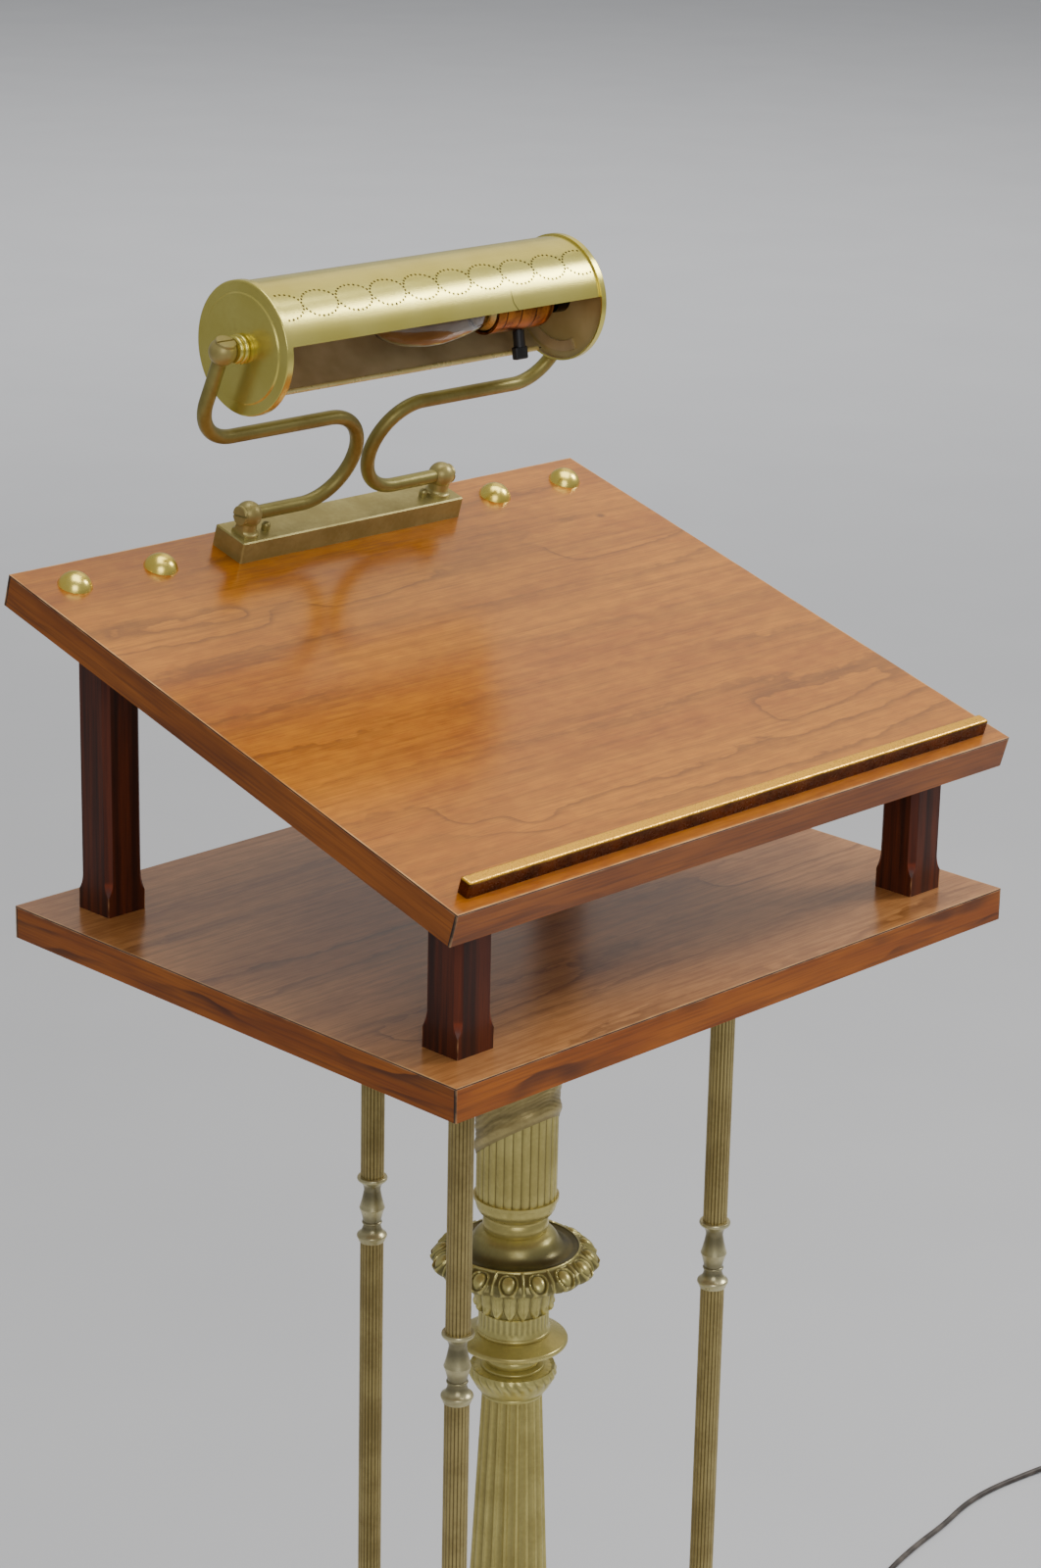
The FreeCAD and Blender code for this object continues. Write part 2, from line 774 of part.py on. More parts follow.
def top_plate_screws_group():
    low = shelf_underside - top_plate_thickness
    shank, head = top_screw_diameter / 2, top_screw_head_diameter / 2
    rim = low - top_screw_head_height
    end = shelf_underside + top_screw_depth
    screw = turned((0, rim), (head * 0.6, rim), (head, low - top_screw_head_height / 3), (head, low),
                   (shank, low), (shank, end), (0, end))
    return Part.makeCompound(ring_of(top_screw_count, at(screw, V(top_screw_circle_diameter / 2, 0, 0))))


drum_top = shelf_underside - top_plate_thickness
collar_top = drum_top - drum_height
pan_top = collar_top - drum_collar_height
bell_top = pan_top - pan_height
saucer_top = bell_top - bell_height
cup_top = saucer_top - saucer_height
shaft_top = cup_top - cup_height


def upper_drum():
    outline = reeded(drum_diameter, drum_reeds, drum_reed_depth)
    drum = Part.Face(outline).extrude(V(0, 0, drum_height))
    bore = Part.makeCylinder(drum_diameter / 2 - drum_wall, drum_height)
    return at(drum.cut(bore), V(0, 0, collar_top))


def drum_collar():
    """Rim under the drum, a round shoulder that draws in, a narrow groove and a bead."""
    rim, neck, bead = drum_diameter / 2 + drum_collar_lip, drum_collar_neck / 2, drum_collar_bead / 2
    high = drum_collar_height
    bead_top = high * 0.37
    foot = neck - 0.4
    under_rim = rim - drum_collar_lip
    shoulder = (under_rim - 0.9, high * 0.62, neck + 0.9, bead_top + 1.9)
    collar = turned((pipe_hole(), high), (rim, high), (rim, high - 2.2), (under_rim, high - 3.0),
                    (under_rim, high - 4.2), shoulder, (foot, bead_top + 1.3), (foot, bead_top),
                    (bead, bead_top / 2, foot, 0), (pipe_hole(), 0))
    return at(collar, V(0, 0, pan_top))


def drip_pan():
    """Domed dish inside a raised edge, then a flaring skirt that curls under at its lip."""
    neck = drum_collar_neck / 2 - 0.4
    dish, skirt, foot = pan_dish_diameter / 2, pan_skirt_diameter / 2, pan_foot_diameter / 2
    high = pan_height
    edge = high - 11.3
    lip = high - 20.7
    shoulder = neck + (dish - neck) * 0.28
    hollow = dish - (dish - neck) * 0.2
    under = skirt - 7.0
    pan = turned((pipe_hole(), high), (neck, high), (shoulder - 1.4, high - 2.0, shoulder + 1.6, high - 5.6),
                 ((shoulder + hollow) / 2, high - 10.6, hollow, edge - 1.2), (dish - 0.8, edge - 0.6),
                 (dish - 0.2, edge + 0.2, dish + 0.5, edge - 0.4),
                 ((dish + skirt) / 2 + 1.0, (edge + lip) / 2 + 0.7, skirt, lip),
                 (skirt - 0.4, lip - 2.0, skirt - 2.2, lip - 2.4), (under, lip + 1.6),
                 (dish - 2.0, edge - 5.0), (foot + 2.0, edge - 6.2), (foot, 0), (pipe_hole(), 0))
    return at(pan, V(0, 0, bell_top))


def capital_bell():
    top, waist = bell_top_diameter / 2, bell_waist_diameter / 2
    high = bell_height
    neck = high * 0.36
    rim = pan_foot_diameter / 2 - 1.0
    bell = turned((pipe_hole(), high), (rim, high), (top - 1.2, high - 4.0),
                  (top + 0.2, high * 0.66, waist + 0.8, neck), (waist, neck - 2.0), (waist, 2.4),
                  (waist + 0.7, 0), (pipe_hole(), 0))
    return at(bell, V(0, 0, saucer_top))


def saucer_ring():
    """Bead under the bell, a sloping dish with a round edge, and a hollow foot."""
    bead, edge, foot = saucer_bead / 2, saucer_diameter / 2, saucer_foot / 2
    high = saucer_height
    saucer = turned((pipe_hole(), high), (bead - 1.2, high), (bead, high - 1.4, bead - 1.2, high - 2.8),
                    (edge - 5.0, high - 5.2, edge - 1.6, high - 6.4),
                    (edge, high - 8.6, edge - 1.8, high - 10.6), (edge - 5.0, high - 10.6),
                    (foot + 4.6, high - 12.8, foot, 3.0), (foot, 0), (pipe_hole(), 0))
    return at(saucer, V(0, 0, cup_top))


def shaft_cup():
    """Bead and small ring in the dish of a cup that rounds in to the top of the shaft."""
    bead, cup, foot = cup_bead / 2, cup_diameter / 2, shaft_top_diameter / 2 + 0.6
    high = cup_height
    piece = turned((pipe_hole(), high), (bead - 1.4, high), (bead, high - 3.2, bead - 1.4, high - 6.2),
                   (bead + 1.8, high - 6.8), (bead + 2.4, high - 7.8, bead + 1.8, high - 8.8),
                   (cup - 3.2, high - 9.6), (cup - 1.0, high - 8.2),
                   (cup, high - 12.0, cup - 1.2, high - 15.6), (foot + 3.4, high - 21.8, foot, 2.4),
                   (foot + 0.5, 1.2, foot, 0), (pipe_hole(), 0))
    return at(piece, V(0, 0, shaft_top))


def column_shaft():
    foot = fluted(shaft_foot_diameter, shaft_flutes, shaft_foot_flute_depth, shaft_bottom)
    head = fluted(shaft_top_diameter, shaft_flutes, shaft_flute_depth, shaft_top)
    outer = Part.makeLoft([foot, head], True, True)
    low = shaft_foot_diameter / 2 - shaft_foot_flute_depth - shaft_wall
    high = shaft_top_diameter / 2 - shaft_flute_depth - shaft_wall
    bore = Part.makeCone(low, high, shaft_top - shaft_bottom, V(0, 0, shaft_bottom))
    return outer.cut(bore)


def column_foot():
    wide, top = shaft_foot_diameter / 2 + column_foot_flare, shaft_foot_diameter / 2 + 2.0
    bore = shaft_foot_diameter / 2 - shaft_foot_flute_depth - shaft_wall
    high = column_foot_height
    half = high / 2
    piece = turned((bore, 0), (wide, 0), (wide + 2.0, half / 2, wide, half), (wide - 4.0, half + 1.0),
                   (top + 2.0, half + 2.4, top, high - 3.0), (top, high), (bore, high))
    return at(piece, V(0, 0, base_height))


def tie_pipe():
    outer, inner = pipe_diameter / 2, pipe_bore / 2
    return turned((inner, pipe_foot), (outer, pipe_foot), (outer, pipe_top), (inner, pipe_top))


def tie_nuts():
    corner = nut_flats / math.sqrt(3)
    corners = [polar(corner, index * 60.0) for index in range(6)]
    prism = Part.Face(Part.Wire(path(corners + [corners[0]]))).extrude(V(0, 0, nut_height))
    nut = prism.cut(Part.makeCylinder(pipe_hole(), nut_height))
    return Part.makeCompound([at(nut, V(0, 0, top - nut_height)) for top in (lower_nut_top, upper_nut_top)])


# Rods
rod_names = {"front_left": 210.0, "front_right": 330.0, "rear": 90.0}
knuckle_top = shelf_height - knuckle_drop
knuckle_bottom = knuckle_top - knuckle_height
rod_foot_top = base_height + rod_foot_height
spigot_radius = rod_bore / 2 - slip


def rod_length(low, high):
    outline = reeded(rod_diameter, rod_reeds, rod_reed_depth)
    body = Part.Face(outline).extrude(V(0, 0, high - low))
    return at(body.cut(Part.makeCylinder(rod_bore / 2, high - low)), V(0, 0, low))


def rod_knuckle():
    """Turned fitting between two lengths of rod, with a spigot into each."""
    rim, neck, bulge = rod_diameter / 2 + knuckle_flare, knuckle_neck / 2, knuckle_bulge / 2
    seat = rod_diameter / 2 + 0.8
    high = knuckle_height
    middle = high * 0.515
    low_neck = high * 0.29
    top_end = high + spigot_length
    knuckle = turned((0, top_end), (0, -spigot_length), (spigot_radius, -spigot_length), (spigot_radius, 0),
                     (seat, 0), (seat + 0.5, 1.4), (rim - 0.6, 2.4), (rim, 3.6, rim - 0.5, 5.0),
                     (neck + 0.9, high * 0.19, neck + 0.4, low_neck - 1.0),
                     (neck + 1.1, low_neck, neck + 0.4, low_neck + 1.0),
                     (bulge - 1.5, (low_neck + middle) / 2 + 0.4, bulge, middle),
                     (bulge - 1.5, middle + high * 0.12, neck, high * 0.78),
                     (neck + 1.0, high * 0.88, rim - 0.5, high - 2.6), (rim, high - 1.6, rim - 0.5, high),
                     (spigot_radius, high), (spigot_radius, top_end))
    return at(knuckle, V(0, 0, knuckle_bottom))


def at_rod(shape, name):
    return at(shape, polar(rod_circle_diameter / 2, rod_names[name]))


def rod_stud(play):
    """Stud in the top of a rod, with its thinner end up in the shelf; with play, the shelf's hole."""
    thin = rod_stud_diameter / 2 + play
    if play:
        return round_bar(thin, V(0, 0, shelf_underside), V(0, 0, shelf_underside + rod_stud_depth))
    low = shelf_underside - spigot_length
    high = shelf_underside + rod_stud_depth
    return turned((0, low), (spigot_radius, low), (spigot_radius, shelf_underside), (thin, shelf_underside),
                  (thin, high), (0, high))


def rod_foot():
    wide, seat = rod_foot_diameter / 2, rod_diameter / 2 + 1.6
    high = rod_foot_height
    end = high + spigot_length
    foot = turned((0, 0), (wide, 0), (wide, high * 0.25), (seat + 1.6, high * 0.42, seat - 0.4, high * 0.7),
                  (seat + 0.8, high * 0.84, seat, high), (spigot_radius, high), (spigot_radius, end),
                  (0, end))
    return at(foot, V(0, 0, base_height))


# Base
exit_way = polar(1.0, lead_exit_angle)
bushing_root = exit_way * (base_diameter / 2) + Z_AXIS * lead_exit_height
bushing_tip = bushing_root + exit_way * bushing_length


def base_shell():
    """Spun shell: an upright rim, a rounded step, a hollow sweep and the flat top."""
    rim, step, top = base_diameter / 2, base_step_diameter / 2, base_top_diameter / 2
    hole = pipe_hole()

    def skin(inset):
        step_z, rim_z, top_z = base_step_height - inset, base_rim_height - inset, base_height - inset
        rounding = (rim - base_ledge * 0.1 - inset, step_z - 2.0)
        hollow = (top + base_sweep * 0.25 - inset, step_z + (top_z - step_z) * 0.35)
        rim_foot, rim_top = (rim - inset, felt_thickness), (rim - inset, rim_z)
        ledge, step_foot = (step + 4.0 - inset, step_z), (step - inset, step_z)
        neck, flat = (top - inset, top_z - 3.0), (top - inset, top_z)
        upwards = [rim_foot, rim_top, rounding + ledge, step_foot, hollow + neck, flat]
        downwards = [flat, neck, hollow + step_foot, ledge, rounding + rim_top, rim_foot]
        return upwards, downwards

    outside, _ = skin(0.0)
    _, inside = skin(base_wall)
    shell = turned(*outside, (hole, base_height), (hole, base_height - base_wall), *inside)
    lead_hole = lead_diameter / 2 + bushing_root_wall + slip
    return shell.cut(round_bar(lead_hole, bushing_root - exit_way * rim / 2, bushing_root + exit_way * rim))


def base_weight():
    """Cast disc under the shell's top, with a recess for the nut and a channel for the wire."""
    wide = base_top_diameter / 2 - weight_inset
    recess = weight_recess_diameter / 2
    top = base_height - base_wall
    disc = turned((pipe_hole(), top), (wide, top), (wide, felt_thickness), (recess, felt_thickness),
                  (recess, lower_nut_top), (pipe_hole(), lower_nut_top))
    width = lead_diameter + 2 * wire_channel_room
    depth = lead_exit_height + width / 2 - felt_thickness
    channel = Part.makeBox(2 * wide, width, depth, V(0, -width / 2, felt_thickness))
    return disc.cut(moved(channel, FreeCAD.Placement(V(), FreeCAD.Rotation(Z_AXIS, lead_exit_angle))))


def base_felt():
    return Part.makeCylinder(base_diameter / 2 - felt_inset, felt_thickness)


# Supply lead
def cord_bushing():
    """Tapered strain relief in the rim, with a flange behind the wall."""
    root, tip = lead_diameter / 2 + bushing_root_wall, lead_diameter / 2 + bushing_tip_wall
    bore = lead_diameter / 2 + slip
    flange = root + bushing_flange
    front = -base_wall - face_gap
    back = front - bushing_flange
    body = turned((bore, back), (flange, back), (flange, front), (root, front), (root, 0),
                  (tip, bushing_length), (bore, bushing_length))
    return moved(body, FreeCAD.Placement(bushing_root, FreeCAD.Rotation(Z_AXIS, exit_way)))


def lamp_wire():
    """The lead inside the base and the pillar: in through the bushing, round a bend and up the pipe."""
    bend = exit_way * wire_bend_radius + Z_AXIS * lead_exit_height
    turn = Z_AXIS * (lead_exit_height + wire_bend_radius)
    middle = turn + exit_way * wire_bend_radius - (exit_way + Z_AXIS) * (wire_bend_radius / math.sqrt(2))
    route = [bushing_tip, bend, (middle, turn), Z_AXIS * (pipe_top + pipe_end)]
    return swept(path(route), lead_diameter / 2, bushing_tip, exit_way * -1)


coil_floor = tie_thickness + tie_room + lead_diameter / 2


def lead_route():
    """Route of the lead over the floor, from the bushing to the coil."""
    low = lead_diameter / 2 + lead_lift
    start = [bushing_tip, bushing_tip + exit_way * lead_first_run]
    middle = [V(262, 97, 5.2), V(306, 118, low), V(358, 140, low), V(418, 158, low), V(480, 171, low),
              V(541, 188, low), V(598, 214, low), V(650, 248, low), V(700, 283, low), V(750, 311, low),
              V(798, 330, low), V(845, 345.5, low), V(893, 354.8, low), V(938, 360.2, low),
              V(982, 370.4, low), V(1022, 371.6, low), V(1060, 367.2, low)]
    return start + middle + [V(1094, 360.6, coil_floor), V(1122, 353.5, coil_floor)]


def rounded_route(points):
    """Straight runs joined by arcs as large as the runs allow, and the list of their radii."""
    entries = [points[0]]
    radii = []
    for before, here, after in zip(points, points[1:], points[2:]):
        back, ahead = before - here, after - here
        half_turn = (math.pi - back.getAngle(ahead)) / 2
        reach = 0.45 * min(back.Length, ahead.Length)
        radius = reach / math.tan(half_turn)
        radii.append(radius)
        back.normalize()
        ahead.normalize()
        inward = (back + ahead).normalize()
        middle = here + inward * (radius / math.cos(half_turn) - radius)
        entries += [here + back * reach, (middle, here + ahead * reach)]
    return entries + [points[-1]], radii


def cord_lead():
    entries, radii = rounded_route(lead_route())
    edges = path(entries)
    tube = swept(edges, lead_diameter / 2, entries[0], exit_way)
    length = Part.Wire(edges).Length
    section = math.pi * lead_diameter * lead_diameter / 4
    print("lead: length", round(length, 1), "least radius", round(min(radii), 1),
          "volume over section times length", round(tube.Volume / (section * length), 5))
    return tube


coil_step = lead_diameter + coil_gap
coil_turns = 2 * coil_turns_in_layer + 0.5


def coil_frame():
    """Centre of the coil and the direction in which the lead runs on to it."""
    points = lead_route()
    heading = (points[-1] - points[-2]).normalize()
    rate = coil_step / (2 * math.pi)
    start_radius = coil_middle_radius + coil_step * coil_turns_in_layer / 2
    drift = math.atan2(rate, start_radius)
    angle = math.atan2(heading.y, heading.x) + math.pi / 2 + drift
    start = points[-1] + heading * lead_diameter
    return start - V(start_radius * math.cos(angle), start_radius * math.sin(angle), 0), angle, start_radius


def coil_point(turn):
    """Clockwise spiral in, up one layer in the half turn where it reverses, and out again."""
    centre, start_angle, start_radius = coil_frame()
    reverse = coil_turns / 2
    radius = start_radius - coil_step * (reverse - abs(turn - reverse))
    climb = min(max((turn - coil_turns_in_layer) / 0.5, 0.0), 1.0)
    height = coil_step * climb * climb * (3 - 2 * climb)
    angle = start_angle - 2 * math.pi * turn
    return centre + V(radius * math.cos(angle), radius * math.sin(angle), height)


def coil_tangent(turn):
    small = 1e-5
    early, late = max(turn - small, 0.0), min(turn + small, coil_turns)
    return (coil_point(late) - coil_point(early)).normalize()


def tangent_arc(start, tangent, end):
    """Arc that leaves its start along a tangent, given as its middle and its end."""
    chord = end - start
    along = V(chord).normalize()
    side = (tangent - along * tangent.dot(along)).normalize()
    bow = chord.Length / 2 * math.tan(tangent.getAngle(chord) / 2)
    return start + chord / 2 + side * bow, end


def biarc(start, start_tangent, end, end_tangent):
    """Two arcs with a common tangent where they join."""
    chord = end - start
    both = start_tangent + end_tangent
    spread = 2 * (1 - start_tangent.dot(end_tangent))
    reach = (math.sqrt(chord.dot(both) ** 2 + spread * chord.dot(chord)) - chord.dot(both)) / spread
    joint = (start + end + (start_tangent - end_tangent) * reach) / 2
    first = tangent_arc(start, start_tangent, joint)
    back_middle, back_end = tangent_arc(end, end_tangent * -1, joint)
    return [first, (back_middle, end)]


def coil_route():
    quarters = int(round(coil_turns * 4))
    stops = [index * coil_turns / quarters for index in range(quarters + 1)]
    points = [coil_point(stop) for stop in stops]
    tangents = [coil_tangent(stop) for stop in stops]
    entries = [points[0] - tangents[0] * lead_diameter, points[0]]
    for index in range(quarters):
        entries += biarc(points[index], tangents[index], points[index + 1], tangents[index + 1])
    return entries + [points[-1] + tangents[-1] * lead_diameter]


def coil_self_gap():
    """Least gap between turns of the coil, measured on points a sixtieth of a turn apart."""
    count = int(coil_turns * 60)
    points = [coil_point(index * coil_turns / count) for index in range(count + 1)]
    least = min((points[a] - points[b]).Length for a in range(count + 1) for b in range(a + 30, count + 1))
    return least - lead_diameter


def cord_coil():
    route = coil_route()
    edges = path(route)
    tube = swept(edges, lead_diameter / 2, route[0], route[1] - route[0])
    length = Part.Wire(edges).Length
    section = math.pi * lead_diameter * lead_diameter / 4
    print("coil: length", round(length, 1), "least gap", round(coil_self_gap(), 3),
          "volume over section times length", round(tube.Volume / (section * length), 5))
    return tube


def coil_tie():
    """Flat band round the turns, three quarters of a turn after the coil's start."""
    centre, start_angle, _ = coil_frame()
    turn = 0.75
    passes = [coil_point(turn + index) for index in range(2 * coil_turns_in_layer)]
    reaches = [(point - V(centre.x, centre.y, point.z)).Length for point in passes]
    room = lead_diameter / 2 + tie_room
    near, far = min(reaches) - room, max(reaches) + room
    low, high = coil_floor - room, coil_floor + coil_step + room
    wall = tie_thickness
    outer = Part.makeBox(far - near + 2 * wall, tie_width, high - low + 2 * wall,
                         V(near - wall, -tie_width / 2, low - wall))
    upright_edges = [edge for edge in outer.Edges if abs(edge.tangentAt(0).y) > 0.9]
    outer = outer.makeFillet(wall * 2, upright_edges)
    inner = Part.makeBox(far - near, tie_width, high - low, V(near, -tie_width / 2, low))
    inner_edges = [edge for edge in inner.Edges if abs(edge.tangentAt(0).y) > 0.9]
    inner = inner.makeFillet(wall, inner_edges)
    angle = math.degrees(start_angle) - 360.0 * turn
    place = FreeCAD.Placement(V(centre.x, centre.y, 0), FreeCAD.Rotation(Z_AXIS, angle))
    return moved(outer.cut(inner), place)


def plug():
    """Two-blade plug lying on the floor at the end of the coil."""
    route = coil_route()
    end = route[-1]
    heading = (end - route[-2][1]).normalize()
    tip, root = lead_diameter / 2 + plug_relief_tip_wall, lead_diameter / 2 + plug_relief_root_wall
    relief = turned((0, 0), (tip, 0), (root, plug_relief_length), (0, plug_relief_length))
    thickness = 2 * end.z
    body = Part.makeBox(plug_body_width, thickness, plug_body_length,
                        V(-plug_body_width / 2, -end.z, plug_relief_length))
    body = body.makeFillet(thickness / 6, [edge for edge in body.Edges if abs(edge.tangentAt(0).z) > 0.9])
    shape = relief.fuse(body)
    face = plug_relief_length + plug_body_length
    for side in (-1, 1):
        corner = V((side * blade_spacing - blade_thickness) / 2, -blade_width / 2, face)
        shape = shape.fuse(Part.makeBox(blade_thickness, blade_width, blade_length, corner))
    across = heading.cross(Z_AXIS)
    turn = FreeCAD.Rotation(across, Z_AXIS, heading, "ZYX")
    return moved(shape, FreeCAD.Placement(end, turn))


# Write each piece to its own file
os.makedirs("parts", exist_ok=True)

shelf_place = V(0, shelf_front, shelf_height)
shelf_core, shelf_sheet, shelf_strips = [at(piece, shelf_place) for piece in panel(shelf_depth)]
nut_pocket = round_bar(nut_flats, Z_AXIS * shelf_underside, Z_AXIS * (pipe_top + pipe_end + nut_pocket_room))
stud_holes = [at_rod(rod_stud(slip), name) for name in rod_names]
save("shelf_core", shelf_core.cut(all_dowels(slip) + [nut_pocket] + stud_holes + top_screws(slip)))
save("shelf_top_sheet", shelf_sheet.cut(all_dowels(slip)))
save("shelf_edge_strips", shelf_strips)

board_core, board_sheet, board_strips = panel(board_length)
board_holes = ledge_pins(slip) + dome_shanks(slip) + bar_screw_shanks(slip)
save("board_core", on_board(board_core.cut(board_holes)).cut(all_dowels(slip)))
save("board_top_sheet", on_board(board_sheet.cut(board_holes)))
save("board_edge_strips", on_board(board_strips))

for post_name, post_place in post_places().items():
    save("post_" + post_name, post(post_place))
save("post_dowels", Part.makeCompound(all_dowels(0)))
save("book_ledge", book_ledge())
save("dome_studs", dome_studs())

save("lamp_bar", lamp_bar())
save("lamp_bar_screws", lamp_bar_screws())
for side_name, side in (("left", -1), ("right", 1)):
    save("lower_ball_" + side_name, lower_ball(side))
    save("arm_" + side_name, arm(side))
    save("upper_ball_" + side_name, upper_ball(side))
    save("shade_cap_" + side_name, shade_cap(side))
save("slotted_plugs", slotted_plugs())
save("shade_tube", shade_tube())
save("lamp_socket", lamp_socket())
save("bulb", bulb())
save("switch_key", switch_key())

save("top_plate", top_plate())
save("top_plate_screws", top_plate_screws_group())
save("upper_drum", upper_drum())
save("drum_collar", drum_collar())
save("drip_pan", drip_pan())
save("capital_bell", capital_bell())
save("saucer_ring", saucer_ring())
save("shaft_cup", shaft_cup())
save("column_shaft", column_shaft())
save("column_foot", column_foot())
save("tie_pipe", tie_pipe())
save("tie_nuts", tie_nuts())

for rod_name in rod_names:
    save("lower_rod_" + rod_name, at_rod(rod_length(rod_foot_top, knuckle_bottom), rod_name))
    save("rod_knuckle_" + rod_name, at_rod(rod_knuckle(), rod_name))
    save("upper_rod_" + rod_name, at_rod(rod_length(knuckle_top, shelf_underside), rod_name))
save("rod_studs", Part.makeCompound([at_rod(rod_stud(0), name) for name in rod_names]))
save("rod_feet", Part.makeCompound([at_rod(rod_foot(), name) for name in rod_names]))

save("base_shell", base_shell())
save("base_weight", base_weight())
save("base_felt", base_felt())

save("cord_bushing", cord_bushing())
save("lamp_wire", lamp_wire())
save("cord_lead", cord_lead())
save("cord_coil", cord_coil())
save("coil_tie", coil_tie())
save("plug", plug())
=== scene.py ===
import math

import bpy
from mathutils import Matrix, Vector


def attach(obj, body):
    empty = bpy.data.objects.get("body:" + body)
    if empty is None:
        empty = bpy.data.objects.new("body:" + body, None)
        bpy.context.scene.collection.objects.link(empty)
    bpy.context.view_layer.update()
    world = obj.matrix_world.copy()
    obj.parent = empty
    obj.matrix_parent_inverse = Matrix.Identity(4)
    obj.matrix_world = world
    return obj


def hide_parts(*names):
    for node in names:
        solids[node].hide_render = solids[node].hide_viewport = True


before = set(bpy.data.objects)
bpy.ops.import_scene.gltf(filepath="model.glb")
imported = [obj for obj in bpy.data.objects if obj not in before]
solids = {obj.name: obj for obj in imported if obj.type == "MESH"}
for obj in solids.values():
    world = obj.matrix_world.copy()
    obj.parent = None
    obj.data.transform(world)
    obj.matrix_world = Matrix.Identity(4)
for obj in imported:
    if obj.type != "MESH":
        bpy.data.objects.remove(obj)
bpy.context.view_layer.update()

# Camera. It stands in front of the board and to its left, higher than the lamp, and looks down at
# the board through a long lens.
camera_place = Vector((-1.42135, -1.39289, 1.66285))
camera_azimuth = math.radians(-45.501)
camera_elevation = math.radians(18.113)
camera_roll = math.radians(1.213)
focal_pixels = 3644.21
picture_height = 1600
sensor = 36

backward = Vector((math.sin(camera_azimuth) * math.cos(camera_elevation),
                   -math.cos(camera_azimuth) * math.cos(camera_elevation),
                   math.sin(camera_elevation)))
level = Vector((math.cos(camera_azimuth), math.sin(camera_azimuth), 0))
upward = backward.cross(level)
across_picture = level * math.cos(camera_roll) + upward * math.sin(camera_roll)
up_picture = upward * math.cos(camera_roll) - level * math.sin(camera_roll)
camera_turn = Matrix((across_picture, up_picture, backward)).transposed()
camera = bpy.data.objects.new("camera", bpy.data.cameras.new("camera"))
camera.data.sensor_width = sensor
camera.data.lens = sensor * focal_pixels / picture_height
camera.matrix_world = Matrix.Translation(camera_place) @ camera_turn.to_4x4()
bpy.context.scene.collection.objects.link(camera)
bpy.context.scene.camera = camera


# Supply lead. A round lead in brown-grey rubber comes out of the base's rim, runs over the floor and
# ends in a small coil, held by a band, with a moulded plug.
def paint(red, green, blue):
    """Colour from the 0 to 255 values that a picture shows."""
    tones = [value / 255 for value in (red, green, blue)]
    return [tone / 12.92 if tone <= 0.04045 else ((tone + 0.055) / 1.055) ** 2.4 for tone in tones] + [1.0]


class Finish:
    """Surface finish: coordinates, noises and colours are joined step by step to one shader."""

    def __init__(self, name, **fixed):
        self.material = bpy.data.materials.new(name)
        self.material.use_nodes = True
        self.tree = self.material.node_tree
        self.shader = self.tree.nodes["Principled BSDF"]
        for socket, value in fixed.items():
            self.shader.inputs[socket.replace("_", " ")].default_value = value

    def join(self, socket, value):
        """Link a socket to another one, or set it to a fixed value."""
        if isinstance(value, bpy.types.NodeSocket):
            self.tree.links.new(value, socket)
        else:
            socket.default_value = value

    def local(self, place=(0, 0, 0), turn=(0, 0, 0)):
        """Coordinates in metres, measured from a place and along turned axes."""
        here = self.tree.nodes.new("ShaderNodeTexCoord")
        mapping = self.tree.nodes.new("ShaderNodeMapping")
        mapping.vector_type = "TEXTURE"
        mapping.inputs["Location"].default_value = place
        mapping.inputs["Rotation"].default_value = turn
        self.join(mapping.inputs["Vector"], here.outputs["Object"])
        return mapping.outputs["Vector"]

    def axes(self, vector):
        node = self.tree.nodes.new("ShaderNodeSeparateXYZ")
        self.join(node.inputs[0], vector)
        return node.outputs

    def vector(self, x, y, z):
        node = self.tree.nodes.new("ShaderNodeCombineXYZ")
        for socket, value in zip(node.inputs, (x, y, z)):
            self.join(socket, value)
        return node.outputs[0]

    def maths(self, operation, *values):
        node = self.tree.nodes.new("ShaderNodeMath")
        node.operation = operation
        for socket, value in zip(node.inputs, values):
            self.join(socket, value)
        return node.outputs[0]

    def total(self, *values):
        """Sum of the values."""
        result = values[0]
        for value in values[1:]:
            result = self.maths("ADD", result, value)
        return result

    def times(self, *values):
        """Product of the values."""
        result = values[0]
        for value in values[1:]:
            result = self.maths("MULTIPLY", result, value)
        return result

    def noise(self, vector, scale, detail=2.0, stretch=None):
        """Cloudy noise from 0 to 1; stretch gives the number of clouds in a metre on each axis."""
        if stretch:
            node = self.tree.nodes.new("ShaderNodeVectorMath")
            node.operation = "MULTIPLY"
            self.join(node.inputs[0], vector)
            node.inputs[1].default_value = stretch
            vector = node.outputs[0]
        cloud = self.tree.nodes.new("ShaderNodeTexNoise")
        cloud.inputs["Scale"].default_value = scale
        cloud.inputs["Detail"].default_value = detail
        self.join(cloud.inputs["Vector"], vector)
        return cloud.outputs[0]

    def fade(self, value, start, end, low=0.0, high=1.0):
        """Smooth step from low to high while the value goes from start to end."""
        node = self.tree.nodes.new("ShaderNodeMapRange")
        node.interpolation_type = "SMOOTHSTEP"
        for socket, entry in zip(node.inputs, (value, start, end, low, high)):
            self.join(socket, entry)
        return node.outputs[0]

    def mix(self, share, first, second):
        node = self.tree.nodes.new("ShaderNodeMix")
        node.data_type = "RGBA"
        self.join(node.inputs[0], share)
        self.join(node.inputs[6], first)
        self.join(node.inputs[7], second)
        return node.outputs[2]

    def relief(self, height, depth, strength=1.0):
        node = self.tree.nodes.new("ShaderNodeBump")
        node.inputs["Strength"].default_value = strength
        node.inputs["Distance"].default_value = depth
        self.join(node.inputs["Height"], height)
        self.join(self.shader.inputs["Normal"], node.outputs[0])

    def done(self, colour, roughness=None):
        self.join(self.shader.inputs["Base Color"], colour)
        if roughness is not None:
            self.join(self.shader.inputs["Roughness"], roughness)
        return self.material


